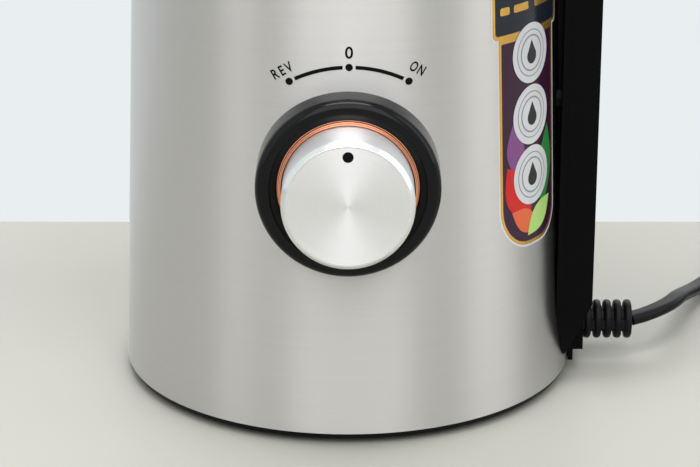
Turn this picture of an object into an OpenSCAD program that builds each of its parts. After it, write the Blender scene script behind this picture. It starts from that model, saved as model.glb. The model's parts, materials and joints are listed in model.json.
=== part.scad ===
// Vertical cold press juicer: motor base with rotary switch, gear train, bowl, auger, lid and pusher.
// Millimetres. +Z is up, the origin is on the drive axis at the plane that the feet stand on,
// the switch faces -Y and the rear spine with its handle is on the +X side.

/* [Body] */
// Outer diameter of the steel sleeve at its lower edge
body_d = 160; // [159:0.5:163]
// Outer diameter of the steel sleeve at its upper edge
body_top_d = 145.2; // [144.4:0.2:147]
// Height of the steel sleeve
sleeve_h = 192; // [188:1:200]
// Wall of the steel sleeve
sleeve_t = 0.8; // [0.6:0.1:1]
// Wall of the inner casing
casing_t = 2.5; // [2:0.1:3]
// Wall of the top deck, spine cover and gearbox housing
shell_t = 2.2; // [1.8:0.1:2.6]

/* [Base] */
// Height of the rubber feet below the tray
foot_h = 2; // [1.5:0.1:3]
// Diameter of a rubber foot
foot_d = 18; // [14:1:22]
// Radius at which the feet stand
foot_ring_r = 58; // [50:1:62]
// Thickness of the tray's outer flange
flange_t = 2; // [1.6:0.1:2.4]
// Thickness of the tray's floor
tray_t = 3; // [2.8:0.1:4]
// Diameter of the tray's flange
flange_d = 158; // [157.4:0.2:158.6]
// Shank diameter of the base screws
base_screw_d = 3.4; // [3:0.2:4]

/* [Knob] */
// Height of the knob's axis above the table
knob_z = 92; // [86:1:96]
// Diameter of the knob
knob_d = 42.5; // [40:0.5:44]
// Length of the knob's side
knob_h = 20; // [17:0.5:23]
// Wall of the knob's aluminium cap
knob_cap_t = 1.2; // [0.8:0.1:1.6]
// Chamfer round the knob's face
knob_chamfer = 1.2; // [0.6:0.1:1.6]
// Diameter of the pointer dot
pointer_d = 3.5; // [2.5:0.25:4.5]
// Distance of the pointer dot from the knob's axis
pointer_r = 16.5; // [13:0.5:17.5]
// Outer diameter of the black bezel
bezel_d = 60; // [57:0.5:64]
// Height of the bezel's lip above the bezel's floor
bezel_h = 7.5; // [6:0.25:9]
// Thickness of the bezel's floor
bezel_floor_t = 2.2; // [1.8:0.1:3]
// Radial width of the copper coloured ring
trim_w = 1.4; // [1.2:0.1:2]
// Height of the copper coloured ring
trim_h = 4.4; // [3.4:0.2:5.2]
// Side of the switch body
switch_w = 24; // [20:1:28]
// Depth of the switch body
switch_depth = 22; // [18:1:26]
// Diameter of the switch's threaded bushing
bushing_d = 10; // [9:0.5:12]
// Diameter of the switch shaft
switch_shaft_d = 6; // [5:0.5:7]

/* [Spine] */
// Width of the spine
spine_w = 64; // [58:1:68]
// Depth of the spine behind the edge of the deck
spine_depth = 12.6; // [11.5:0.1:14]
// Thickness of the spine's inner frame
spine_frame_t = 2.7; // [2.2:0.1:3.4]
// Height of the spine's top above the table
spine_top = 352; // [345:1:358]
// Height at which the outer face starts to slope in
spine_slope_z = 31.5; // [28:0.5:36]
// Height of the handle's lower end
handle_z = 225; // [218:1:232]
// Height of the handle from end to end
handle_h = 110; // [100:1:112]
// Reach of the handle from the spine
handle_reach = 39; // [35:1:46]
// Width of the handle
handle_w = 26; // [22:1:30]
// Thickness of the handle's bar
handle_t = 14; // [12:0.5:15]

/* [Motor] */
// Diameter of the stator
stator_d = 74; // [70:1:75]
// Height of the stator's stack
stator_h = 35; // [31:1:36]
// Height of the stator's lower face above the table
stator_z = 66; // [65:0.5:67]
// Diameter of the rotor
rotor_d = 41; // [38:0.5:41.5]
// Diameter of the rotor's shaft
rotor_shaft_d = 8; // [7:0.5:8]
// Outer diameter of the rotor's bearings
rotor_bearing_d = 22; // [19:1:24]
// Height of each rotor bearing
rotor_bearing_h = 7; // [5:0.5:7]
// Diameter of the commutator
commutator_d = 24; // [21:0.5:25]
// Diameter of the cooling fan
fan_d = 64; // [56:1:68]
// Height of the cooling fan
fan_h = 12; // [8:1:12]
// Diameter of the long bolts through the stator
motor_bolt_d = 4; // [3:0.5:4.5]

/* [Gearbox] */
// Height of the gearbox's floor above the table
gearbox_z = 126; // [125:0.5:128]
// Radius of the gearbox housing
gearbox_r = 67; // [66.5:0.25:68]
// Height of the housing
gearbox_h = 42; // [41:0.5:44]
// Thickness of the housing's floor and of its cover
gearbox_floor_t = 3; // [2.5:0.1:3.4]
// Teeth of the first gear
first_teeth = 60; // [56:1:60]
// Teeth of the second gear
second_teeth = 48; // [44:1:48]
// Teeth of the output gear
output_teeth = 36; // [34:1:36]
// Module of the first stage
first_module = 0.8; // [0.75:0.01:0.8]
// Module of the second stage
second_module = 1; // [0.95:0.01:1]
// Module of the output stage
output_module = 1.5; // [1.45:0.01:1.52]
// Face width of the first gear
first_w = 7; // [5:0.5:7.5]
// Face width of the second gear
second_w = 9; // [7:0.5:9.5]
// Face width of the output gear
output_w = 14; // [11:0.5:14.5]
// Diameter of the gear pins
gear_pin_d = 6; // [5:0.25:6.5]
// Diameter of the drive shaft in its bearing
drive_shaft_d = 13; // [12.8:0.1:13.6]
// Width across the flats of the drive shaft's hexagon
drive_af = 11; // [9.5:0.1:11]
// Outer diameter of the output bearing
output_bearing_d = 22; // [20:1:26]
// Height of the output bearing
output_bearing_h = 8; // [6:0.5:9]

/* [Bowl] */
// Outer diameter of the bowl
bowl_d = 132; // [130:0.5:133]
// Height of the bowl from the deck to its rim
bowl_h = 138; // [136:0.5:141]
// Wall of the bowl
bowl_t = 2.5; // [2:0.1:2.8]
// Height of the bowl's floor above the deck
bowl_floor_z = 14; // [13.6:0.1:15]
// Thickness of the bowl's floor
bowl_floor_t = 3; // [2.6:0.1:3.4]
// Outer diameter of the juice spout
spout_d = 21; // [18:0.5:22]
// Reach of the juice spout from the drive axis
spout_reach = 92; // [86:1:98]
// Width of the pulp duct
duct_w = 20; // [18:0.5:22]
// Reach of the pulp duct from the drive axis
duct_reach = 92; // [86:1:98]
// Outer diameter of the strainer's frame
strainer_d = 98; // [96:0.5:99]
// Radial depth of the strainer's frame
strainer_rib = 3.2; // [2.8:0.1:3.6]
// Thickness of the strainer's steel mesh
mesh_t = 0.7; // [0.4:0.1:0.9]
// Number of wiper arms
wiper_arms = 3; // [3:1:5]
// Thickness of a wiper blade
blade_t = 2; // [1.4:0.1:2.6]

/* [Auger] */
// Face width of the gears under the strainer
bowl_gear_w = 8; // [6:0.5:8]
// Core diameter at the foot of the auger's screw
auger_core_d = 60; // [50:1:64]
// Core diameter at the top of the auger's screw
auger_tip_d = 24; // [20:1:28]
// Turns of each flight
auger_turns = 1.4; // [1:0.1:1.8]
// Number of flights
auger_flights = 2; // [1:1:3]

/* [Lid] */
// Wall of the lid
lid_t = 3; // [2.5:0.1:3.5]
// Inner diameter of the feed tube
feed_d = 42; // [38:0.5:43]
// Distance of the feed tube's axis from the drive axis
feed_x = 32; // [31:0.5:34]
// Height of the feed tube above the lid
feed_h = 77; // [70:1:85]
// Depth that the pusher reaches into the feed tube
pusher_depth = 52; // [40:1:60]
// Diameter of the pusher's flange
pusher_flange_d = 66; // [64:0.5:70]
// Height of the pusher above its flange
pusher_grip_h = 24; // [18:1:30]

/* [Cord] */
// Width of the flat cord
cord_w = 6.8; // [6:0.1:7]
// Thickness of the flat cord
cord_h = 4.2; // [3.8:0.1:4.6]
// Outer diameter of the strain relief's ribs
relief_d = 14; // [12:0.5:15]
// Number of ribs on the strain relief
relief_ribs = 5; // [3:1:5]
// Width of the mains plug
plug_w = 36; // [32:1:38]
// Length of the mains plug's body
plug_l = 36; // [32:1:40]
// Thickness of the mains plug
plug_t = 14; // [13.4:0.1:15]

/* [Hidden] */
$fn = 96;

// Fixed by the gear train: the ratio is 60 to 1 in the gearbox and 2.5 to 1 under the strainer
pinion_teeth = 12;
bowl_module = 1.5;
auger_teeth = 16;
idler_teeth = 12;
ring_teeth = auger_teeth + 2 * idler_teeth;

// Clearances
eps = 0.5;          // how far a cutting tool runs past the face that it cuts
fit_gap = 0.15;     // between shells that slip over each other
seat_gap = 0.3;     // between pieces of different moving groups
run_gap = 0.05;     // radial clearance of a journal
screw_gap = 0.1;    // radial clearance of a screw

// Stations up the base
tray_z = foot_h;
sleeve_z = tray_z + flange_t;
tray_top = tray_z + tray_t;
sleeve_top = sleeve_z + sleeve_h;
deck_rim_h = 8;
deck_top = sleeve_top + deck_rim_h;
deck_boss_h = 8;
deck_boss_r = 10.8;
deck_spigot_h = 8;
seal_h = 4;
seal_wall = 2.2;
casing_grow = -(sleeve_t + fit_gap);
ledge_h = 4;
switch_pad_r = 16;
base_screw_ring_r = body_d / 2 - 7.5;
base_screw_head_h = 1.6;
base_screw_l = 16;
foot_stud_r = 3;

// Stations of the gearbox
gearbox_floor_top = gearbox_z + gearbox_floor_t;
gearbox_top = gearbox_z + gearbox_h;
layer_gap = 2;
first_z = gearbox_floor_top + layer_gap;
second_z = first_z + first_w + layer_gap;
output_z = second_z + second_w + layer_gap;
journal_d = drive_shaft_d - 1;
boss_wall = 2.5;
pin_seat = 1.5;
pin_gap = 0.02;
cover_top = gearbox_top + gearbox_floor_t;
bearing_seat_z = cover_top + 3;
hex_z = deck_top + deck_boss_h + 1;
hex_l = 23;

// Places of the gear axes: the output is on the drive axis
function centre_distance(module_mm, a, b) = module_mm * (a + b) / 2;
second_axis_angle = 90;
first_axis_angle = 200;
motor_axis_angle = -70;
second_at = centre_distance(output_module, pinion_teeth, output_teeth)
    * [cos(second_axis_angle), sin(second_axis_angle)];
first_at = second_at + centre_distance(second_module, pinion_teeth, second_teeth)
    * [cos(first_axis_angle), sin(first_axis_angle)];
motor_at = first_at + centre_distance(first_module, pinion_teeth, first_teeth)
    * [cos(motor_axis_angle), sin(motor_axis_angle)];

// Tooth form
pressure_angle = 25;
tooth_play = 0.06;
flank_steps = 3;
function involute(a) = tan(a) * 180 / PI - a;
function half_tooth(r, teeth, m, play) =
    let (pitch_r = m * teeth / 2, base_r = pitch_r * cos(pressure_angle))
    90 / teeth + involute(pressure_angle) - involute(acos(min(1, base_r / max(r, base_r))))
    - play / pitch_r * 180 / PI;
function flank_radii(root, base_r, tip) =
    let (start = max(root, base_r))
    concat(root < base_r ? [root] : [],
        [for (i = [0:flank_steps]) start + (tip - start) * i / flank_steps]);
function polar(r, a) = [r * cos(a), r * sin(a)];
function gear_points(teeth, m, add, ded, play) =
    let (pitch_r = m * teeth / 2,
        radii = flank_radii(pitch_r - ded * m, pitch_r * cos(pressure_angle), pitch_r + add * m),
        last = len(radii) - 1)
    [for (k = [0:teeth - 1], side = [-1, 1], i = [0:last])
        let (r = radii[side < 0 ? i : last - i])
        polar(r, 360 / teeth * k + side * half_tooth(r, teeth, m, play))];

// A gear pair is in mesh when the tooth phases seen along the line of centres add up to a half
function phase(turn, angle, teeth) = (angle - turn) * teeth / 360;
function meshing_turn(turn, angle, teeth, mate_teeth) =
    angle + 180 - (0.5 - phase(turn, angle, teeth)) * 360 / mate_teeth;
output_turn = 0;
second_pinion_turn = meshing_turn(output_turn, second_axis_angle, output_teeth, pinion_teeth);
second_turn = second_pinion_turn;
first_pinion_turn = meshing_turn(second_turn, first_axis_angle, second_teeth, pinion_teeth);
first_turn = first_pinion_turn;
rotor_pinion_turn = meshing_turn(first_turn, motor_axis_angle, first_teeth, pinion_teeth);

// Stations of the motor
stator_top = stator_z + stator_h;
winding_rise = 8;
bracket_t = 4;
upper_bracket_z = stator_top + 11;
lower_bracket_z = stator_z - 24;
post_ring_r = 30;
bolt_ring_r = stator_d / 2 - 4.5;
pillar_r = 4;
bearing_hub_wall = 3;
upper_bearing_z = upper_bracket_z + bracket_t - rotor_bearing_h - 0.5;
lower_bearing_z = lower_bracket_z + bracket_t - rotor_bearing_h - 1;
fan_z = lower_bearing_z - 2 - fan_h;
commutator_h = 12;
commutator_z = lower_bracket_z + bracket_t + 3;
brush_z = commutator_z + commutator_h / 2;
brush_w = 5;
brush_h = 8;
brush_l = 14;
brush_box_wall = 2;
pole_gap = 0.5;
pole_shoe = 2;
yoke_t = 9;
slot_out_r = stator_d / 2 - yoke_t;
slot_in_r = rotor_d / 2 + pole_gap + pole_shoe;
pole_arc = 110;
neck_w = 24;

// Knob stations, measured out from the drive axis along the knob's axis
knob_gap = 0.35;
sleeve_front = body_r(knob_z);
bezel_floor = sleeve_front + 0.2;
bezel_face = bezel_floor + bezel_floor_t;
knob_foot = bezel_face + 2.8;
knob_face = knob_foot + knob_h;
trim_in_r = knob_d / 2 + knob_gap;
trim_out_r = trim_in_r + trim_w;
recess_r = trim_out_r + 0.2;
nut_h = 3;
nut_af = bushing_d + 4;
switch_face = sleeve_front - 10.6;
bezel_back = sleeve_front - 8;
shaft_end = knob_face - 5;
shaft_start = switch_face - 14;

// Spine stations
spine_x = max(body_top_d / 2 - 0.1, body_d / 2 - 7.5);
spine_cover_x = spine_x + spine_frame_t;
spine_outer_x = spine_x + spine_depth;
spine_foot_z = 6;
spine_bend_z = 37;
spine_bend_r = 50;
spine_corner_r = 14;
spine_screw_heights = [40, 105];
spine_screw_d = 3.4;
spine_head_h = 2;
spine_boss_r = spine_screw_d + 0.6;
spine_screw_y = spine_w / 2 - shell_t - seat_gap - spine_boss_r;
spine_pad_x = sqrt(pow(casing_inner_x(spine_screw_heights[1]), 2)
    - pow(spine_screw_y + spine_screw_d, 2)) - spine_head_h;
saddle_x = body_top_d / 2 - 8.1;
spine_top_bevel = 8;
outlet_w = 30;

// Cord and strain relief
cord_z = 13.5;
relief_end_x = 102.5;
relief_core_r = 4.75;
relief_rib_t = 2.7;
relief_pitch = 3.67;
relief_flange_r = 8;
relief_flange_t = 2.5;
cord_hole_r = relief_core_r + fit_gap;
cord_route = [[102.5, 0, 13.5], [106.9, 1.6, 14.1], [110.9, 4, 14.6], [114.4, 7, 14.9],
    [117.4, 10.6, 14.9], [119.7, 14.6, 14.6], [121.4, 19, 13.9], [123, 24, 12.7],
    [124.7, 29, 11.3], [126.5, 34, 9.9], [128.5, 39.2, 8.5], [130.7, 44.6, 7.1],
    [133.1, 50.2, 5.8], [135.8, 56, 4.7], [138.9, 62.2, 3.8], [142.4, 68.8, 3.2],
    [146.3, 75.8, 2.9], [150.5, 83.6, 2.9]];
coil_at = [194, 72];
coil_mid_r = 38;
coil_half_w = 10.4;
coil_z = 0.8;
coil_h = 2 * cord_h + 0.2;
tie_t = 0.8;
tie_w = 8;
tie_angle = 60;
tail_z = 7;
tail_angle = -135;
tail_from = coil_at + (coil_mid_r + coil_half_w - cord_w / 2) * [cos(-45), sin(-45)];
tail_l = 28;
plug_tail_l = 17;
pin_l = 19;
pin_d = 4;
pin_spacing = 18.6;

// Bowl stations
bowl_z = deck_top;
floor_z = bowl_z + bowl_floor_z;
floor_top = floor_z + bowl_floor_t;
bowl_top = bowl_z + bowl_h;
bowl_r = bowl_d / 2;
bowl_in_r = bowl_r - bowl_t;
gear_z = floor_top + 2;
gear_top = gear_z + bowl_gear_w;
boss_top = gear_z - seat_gap;
bowl_boss_r = 15.5;
bowl_seal_r = 13;
auger_neck_r = 9.5;
pulp_hole_r = 5.2;
pulp_tube_r = 6.7;
strainer_z = gear_top + 3;
strainer_floor_t = 3;
pulp_tube_top = strainer_z - seat_gap;
ledge_w = 2;
ledge_t = 3;
strainer_seat_z = bowl_top - 10;
strainer_in_r = strainer_d / 2 - strainer_rib;
mesh_r = strainer_in_r - 0.1;
idler_x = -centre_distance(bowl_module, auger_teeth, idler_teeth);
pulp_y = (auger_teeth / 2 + 1) * bowl_module + pulp_tube_r + 0.9;
idler_pin_r = 3;
ring_wall = 4;
ring_out_r = (ring_teeth / 2 + 1.25) * bowl_module + ring_wall;
strainer_ribs = 12;
arm_in_r = strainer_d / 2 + 2;
arm_out_r = arm_in_r + 6;
arm_w = 10;
spout_z = floor_top + spout_d / 2 + 0.2;
spout_bore_r = spout_d / 2 - 2.5;
lug_arc = 24;
lug_count = 3;
lug_h = 3;
lug_z = bowl_top - 6;

// The idler lies on the -X side of the auger's gear; a tooth of it points into a space of the ring
auger_gear_turn = 0;
idler_turn = meshing_turn(auger_gear_turn, 180, auger_teeth, idler_teeth);
ring_turn = 180 - phase(idler_turn, 180, idler_teeth) * 360 / ring_teeth;

// Auger stations
screw_z = strainer_z + strainer_floor_t + 1.5;
auger_top = strainer_seat_z;
flight_r = strainer_in_r - mesh_t - 1.4;
flight_arc = 24;
flight_root_r = 7;
socket_af = drive_af + 0.4;
lid_pin_r = 4;
lid_pin_depth = 5;

// Lid stations
lid_z = bowl_top + 2;
lid_top = lid_z + lid_t;
skirt_in_r = bowl_r + 2.5;
skirt_out_r = skirt_in_r + 2.5;
skirt_z = lug_z - 4.5;
feed_r = feed_d / 2;
feed_wall = 2.5;
feed_top = lid_top + feed_h;
funnel_h = 10;
funnel_flare = 9;
pusher_r = feed_r - 0.5;
pusher_wall = 2.2;

// Juice cap
cap_r = spout_d / 2 + 1.5;
cap_t = 3;
cap_hinge_x = -(spout_reach - 4);
cap_hinge_z = spout_z + spout_d / 2 + 6;
cap_pin_r = 1.5;
hinge_w = 10;
ear_t = 2.4;
ear_r = 3.4;

// Control board
board_x = -62;
board_t = 1.6;
board_w = 44;
board_z = 40;
board_h = 60;
rail_w = 4;

// Lead wires
supply_lead_d = 4.2;
wire_d = 2.2;
wire_up = [0.37, 0.61, 0.7];
lead_steps = 3;

function body_r(z) = (body_d - (body_d - body_top_d) * (z - sleeve_z) / sleeve_h) / 2;
function casing_inner_x(z) = body_r(z) - sleeve_t - fit_gap - casing_t;

// Solid of the tapered body between two heights, grown or shrunk along its radius
module body_cone(low, high, grow) {
    translate([0, 0, low]) cylinder(h = high - low, r1 = body_r(low) + grow, r2 = body_r(high) + grow);
}

module tube(low, high, r_in, r_out) {
    difference() {
        translate([0, 0, low]) cylinder(h = high - low, r = r_out);
        translate([0, 0, low - eps]) cylinder(h = high - low + 2 * eps, r = r_in);
    }
}

module rod(low, high, r) {
    translate([0, 0, low]) cylinder(h = high - low, r = r);
}

module hexagon(low, high, af) {
    translate([0, 0, low]) cylinder(h = high - low, r = af / 2 / cos(30), $fn = 6);
}

// Children drawn along +Z are turned to run along +X
module along_x() {
    rotate([0, 90, 0]) children();
}

// Children drawn with +Z towards the viewer are set on the knob's axis
module on_knob_axis() {
    translate([0, 0, knob_z]) rotate([90, 0, 0]) children();
}

// A flat shape drawn in Y and Z is extruded along X
module side_sheet(x_low, x_high) {
    translate([x_low, 0, 0]) rotate([90, 0, 90]) linear_extrude(x_high - x_low) children();
}

// A flat shape drawn in X and Z is extruded along Y, centred
module cross_sheet(width) {
    translate([0, width / 2, 0]) rotate([90, 0, 0]) linear_extrude(width) children();
}

module sector(low, high, r_in, r_out, angle) {
    translate([0, 0, low]) rotate([0, 0, -angle / 2]) rotate_extrude(angle = angle)
        translate([r_in, 0]) square([r_out - r_in, high - low]);
}

module block(x, y, z) {
    translate([x[0], y[0], z[0]]) cube([x[1] - x[0], y[1] - y[0], z[1] - z[0]]);
}

module spur(teeth, m, low, high, turn) {
    translate([0, 0, low]) rotate([0, 0, turn]) linear_extrude(high - low)
        polygon(gear_points(teeth, m, 1, 1.25, tooth_play));
}

// ---- Base ----

module base_screw_places() {
    for (a = [45:90:315]) rotate([0, 0, a]) translate([base_screw_ring_r, 0, 0]) children();
}

module base_tray() {
    color([0.09, 0.09, 0.1]) difference() {
        union() {
            rod(tray_z, sleeve_z, flange_d / 2);
            rod(sleeve_z, tray_top, body_r(tray_top) - sleeve_t - casing_t - 0.5);
        }
        base_screw_places() rod(tray_z - eps, tray_z + base_screw_head_h, base_screw_d + screw_gap);
        base_screw_places() rod(tray_z, tray_top + eps, base_screw_d / 2 + screw_gap);
        foot_places() rod(tray_z - eps, tray_top + eps, foot_stud_r);
        for (a = [0:30:330]) rotate([0, 0, a]) for (r = [24:7:38])
            block([r, r + 4], [-3, 3], [tray_z - eps, tray_top + eps]);
    }
}

module foot_places() {
    for (a = [0:90:270]) rotate([0, 0, a]) translate([foot_ring_r, 0, 0]) children();
}

module rubber_feet() {
    color([0.16, 0.16, 0.17]) foot_places() {
        rod(0, tray_z, foot_d / 2);
        rod(tray_z, tray_top, foot_stud_r);
    }
}

module base_screws() {
    color([0.6, 0.6, 0.6]) base_screw_places() difference() {
        union() {
            rod(tray_z, tray_z + base_screw_head_h, base_screw_d);
            rod(tray_z, tray_z + base_screw_l, base_screw_d / 2);
        }
        block([-base_screw_d / 2, base_screw_d / 2], [-0.4, 0.4], [tray_z - eps, tray_z + 0.6]);
        block([-0.4, 0.4], [-base_screw_d / 2, base_screw_d / 2], [tray_z - eps, tray_z + 0.6]);
    }
}

module cord_passage() {
    translate([spine_x - 20, 0, cord_z]) along_x() cylinder(h = 60, r = cord_hole_r);
}

module spine_screw_places() {
    for (side = [-1, 1], z = spine_screw_heights) translate([0, side * spine_screw_y, z]) along_x()
        children();
}

module steel_sleeve() {
    color([0.75, 0.74, 0.72]) difference() {
        body_cone(sleeve_z, sleeve_top, 0);
        body_cone(sleeve_z - eps, sleeve_top + eps, -sleeve_t);
        on_knob_axis() rod(0, body_d, bushing_d / 2 + 1);
        cord_passage();
        spine_screw_places() rod(40, body_d, spine_screw_d / 2 + screw_gap);
    }
}

module inner_casing() {
    color([0.25, 0.25, 0.26]) difference() {
        intersection() {
            body_cone(sleeve_z, sleeve_top, casing_grow);
            union() {
                difference() {
                    rod(sleeve_z, sleeve_top, body_d);
                    body_cone(sleeve_z - eps, sleeve_top + eps, casing_grow - casing_t);
                }
                tube(gearbox_z - ledge_h, gearbox_z, gearbox_r - 5, body_d);
                base_screw_places() rod(tray_top, tray_top + 20, base_screw_d + 0.8);
                on_knob_axis() rod(switch_face, sleeve_front, switch_pad_r);
                spine_screw_places() rod(spine_pad_x, spine_x, spine_screw_d + 1.6);
                for (side = [-1, 1]) translate([0, side * board_w / 2, 0])
                    block([-body_d / 2, board_x + board_t + rail_w / 2],
                        [-rail_w / 2, rail_w / 2], [board_z - 2, board_z + board_h]);
            }
        }
        base_screw_places() rod(tray_top - eps, tray_z + base_screw_l + 1, base_screw_d / 2 + run_gap);
        on_knob_axis() rod(switch_face - eps, sleeve_front, bushing_d / 2 + screw_gap);
        spine_screw_places() rod(40, body_d, spine_screw_d / 2 + screw_gap);
        cord_passage();
        block([board_x - 0.1, board_x + board_t + 0.1], [-board_w / 2 - 0.1, board_w / 2 + 0.1],
            [board_z, board_z + board_h + eps]);
    }
}

module top_deck() {
    rim_r = body_top_d / 2;
    spigot_r = body_r(sleeve_top) - sleeve_t - fit_gap - casing_t - 0.2;
    edge_r = 2;
    color([0.08, 0.08, 0.09]) difference() {
        union() {
            rod(deck_top - 3, deck_top - edge_r, rim_r);
            rod(deck_top - 3, deck_top, rim_r - edge_r);
            translate([0, 0, deck_top - edge_r]) rotate_extrude() translate([rim_r - edge_r, 0])
                circle(r = edge_r);
            tube(sleeve_top, deck_top - edge_r, rim_r - shell_t - 0.4, rim_r);
            tube(sleeve_top - deck_spigot_h, deck_top - 2, spigot_r - shell_t, spigot_r);
            rod(deck_top - 3, deck_top + deck_boss_h, deck_boss_r);
        }
        rod(deck_top - 4, deck_top + deck_boss_h + eps, drive_shaft_d / 2 + 0.8);
        rod(deck_top + deck_boss_h - seal_h, deck_top + deck_boss_h + eps,
            drive_shaft_d / 2 + 0.3 + seal_wall);
    }
}

module shaft_seal() {
    color([0.5, 0.1, 0.08])
        tube(deck_top + deck_boss_h - seal_h, deck_top + deck_boss_h,
            drive_shaft_d / 2 + 0.3, drive_shaft_d / 2 + 0.3 + seal_wall);
}

// ---- Spine and handle ----

// Outline of the spine seen from behind, in Y and Z, smaller by inset
module spine_outline(inset) {
    half = spine_w / 2 - inset;
    top = spine_top - inset;
    corner = spine_corner_r - inset;
    translate([-half, spine_bend_z]) square([2 * half, top - corner - spine_bend_z]);
    translate([-half + corner, spine_bend_z]) square([2 * (half - corner), top - spine_bend_z]);
    for (side = [-1, 1]) translate([side * (half - corner), top - corner]) circle(r = corner);
    intersection() {
        translate([-half, spine_foot_z + inset]) square([2 * half, spine_bend_z - spine_foot_z]);
        translate([spine_w / 2 - spine_bend_r, spine_bend_z]) circle(r = spine_bend_r - inset);
        translate([spine_bend_r - spine_w / 2, spine_bend_z]) circle(r = spine_bend_r - inset);
    }
}

// Room that the body and the deck take in front of the spine
module spine_front_cut() {
    body_cone(sleeve_z - eps, sleeve_top, fit_gap);
    rod(sleeve_top - eps, deck_top + 2, body_top_d / 2 + seat_gap);
}

// Side profile of the spine cover, in X and Z, moved in by inset
module cover_profile(inset) {
    rise = (spine_slope_z - spine_foot_z) / (spine_outer_x - spine_cover_x);
    over = 10;
    translate([-inset, 0]) polygon([[spine_cover_x - over, spine_foot_z - over * rise],
        [spine_outer_x, spine_slope_z], [spine_outer_x, spine_top - spine_top_bevel],
        [spine_outer_x - spine_top_bevel - over, spine_top + over],
        [spine_cover_x - over, spine_top + over]]);
}

module cover_solid(inset) {
    intersection() {
        side_sheet(spine_cover_x - inset, spine_outer_x) spine_outline(inset);
        cross_sheet(spine_w) cover_profile(inset);
    }
}

module spine_frame() {
    color([0.07, 0.07, 0.08]) difference() {
        union() {
            side_sheet(spine_x, spine_cover_x) spine_outline(0);
            block([saddle_x, spine_x], [-26, 26], [40, sleeve_top - 4]);
            spine_screw_places() rod(spine_x - 2, spine_outer_x - shell_t - 0.5, spine_boss_r);
        }
        spine_front_cut();
        cord_passage();
        spine_screw_places() rod(spine_x - 3, spine_outer_x - shell_t - 1.5, spine_screw_d / 2 + run_gap);
    }
}

module spine_cover() {
    color([0.05, 0.05, 0.06]) difference() {
        cover_solid(0);
        cover_solid(shell_t);
        spine_front_cut();
        cord_passage();
    }
}

module spine_screws() {
    color([0.6, 0.6, 0.6]) spine_screw_places() {
        rod(spine_pad_x - spine_head_h, spine_pad_x, spine_screw_d);
        rod(spine_pad_x, spine_outer_x - shell_t - 2, spine_screw_d / 2);
    }
}

module cord_outlet() {
    step_h = 4.2;
    step_x = 3.5;
    foot_z = sleeve_z - 0.5;
    first_x = spine_x + 8;
    color([0.06, 0.06, 0.07]) difference() {
        cross_sheet(outlet_w) polygon([[spine_x, foot_z], [first_x, foot_z],
            [first_x, foot_z + step_h], [first_x + step_x, foot_z + step_h],
            [first_x + step_x, cord_z + relief_d / 2], [first_x + 1, spine_slope_z - 4],
            [spine_x, spine_slope_z - 4]]);
        rod(0, sleeve_z, flange_d / 2 + seat_gap);
        body_cone(sleeve_z - eps, sleeve_top, fit_gap);
        cover_solid(0);
        side_sheet(spine_x - eps, spine_cover_x) spine_outline(0);
        cord_passage();
    }
}

module handle_grip() {
    hole_x = handle_reach - handle_t;
    hole_h = handle_h - 2 * (handle_t + 2);
    outer_r = 15;
    inner_r = 7;
    color([0.1, 0.1, 0.11]) translate([spine_outer_x, 0, handle_z]) cross_sheet(handle_w)
        difference() {
            union() {
                square([handle_reach - outer_r, handle_h]);
                translate([0, outer_r]) square([handle_reach, handle_h - 2 * outer_r]);
                for (z = [outer_r, handle_h - outer_r]) translate([handle_reach - outer_r, z])
                    circle(r = outer_r);
            }
            translate([0, (handle_h - hole_h) / 2]) {
                translate([-eps, 0]) square([hole_x - inner_r + eps, hole_h]);
                translate([-eps, inner_r]) square([hole_x + eps, hole_h - 2 * inner_r]);
                for (z = [inner_r, hole_h - inner_r]) translate([hole_x - inner_r, z])
                    circle(r = inner_r);
            }
        }
}

// ---- Knob and switch ----

module knob_bezel() {
    lip_r = 1.5;
    lip_w = 3.6;
    top = bezel_face + bezel_h;
    color([0.03, 0.03, 0.035]) difference() {
        on_knob_axis() difference() {
            union() {
                rotate_extrude() polygon([[recess_r - 4, bezel_back], [bezel_d / 2, bezel_back],
                    [bezel_d / 2, top - lip_r], [bezel_d / 2 - lip_r, top],
                    [bezel_d / 2 - lip_w, top], [recess_r, top - 1.6],
                    [recess_r, bezel_face], [recess_r - 4, bezel_face]]);
                translate([0, 0, top - lip_r]) rotate_extrude()
                    translate([bezel_d / 2 - lip_r, 0]) circle(r = lip_r);
                rod(bezel_floor, bezel_face, recess_r);
            }
            rod(0, bezel_face + eps, bushing_d / 2 + screw_gap);
        }
        body_cone(sleeve_z, sleeve_top, 0.1);
    }
}

module knob_trim_ring() {
    step = trim_w / 3;
    color([0.85, 0.5, 0.36]) on_knob_axis() rotate_extrude() polygon([
        [trim_in_r, bezel_face], [trim_out_r, bezel_face],
        [trim_out_r, bezel_face + trim_h - 1.6], [trim_out_r - step, bezel_face + trim_h - 1.6],
        [trim_out_r - step, bezel_face + trim_h - 0.8],
        [trim_out_r - 2 * step, bezel_face + trim_h - 0.8],
        [trim_out_r - 2 * step, bezel_face + trim_h], [trim_in_r, bezel_face + trim_h]]);
}

module knob_cap() {
    r = knob_d / 2;
    color([0.88, 0.88, 0.87]) on_knob_axis() difference() {
        rotate_extrude() polygon([[0, knob_face - knob_cap_t], [r - knob_cap_t, knob_face - knob_cap_t],
            [r - knob_cap_t, knob_foot], [r, knob_foot], [r, knob_face - knob_chamfer],
            [r - knob_chamfer, knob_face], [0, knob_face]]);
        translate([0, pointer_r, 0]) rod(knob_foot, knob_face + eps, pointer_d / 2);
    }
}

// The flat of the D shaped shaft end
module shaft_flat(low, high, r) {
    intersection() {
        rod(low, high, r);
        block([-r, r], [-r, r * 0.7], [low, high]);
    }
}

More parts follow.
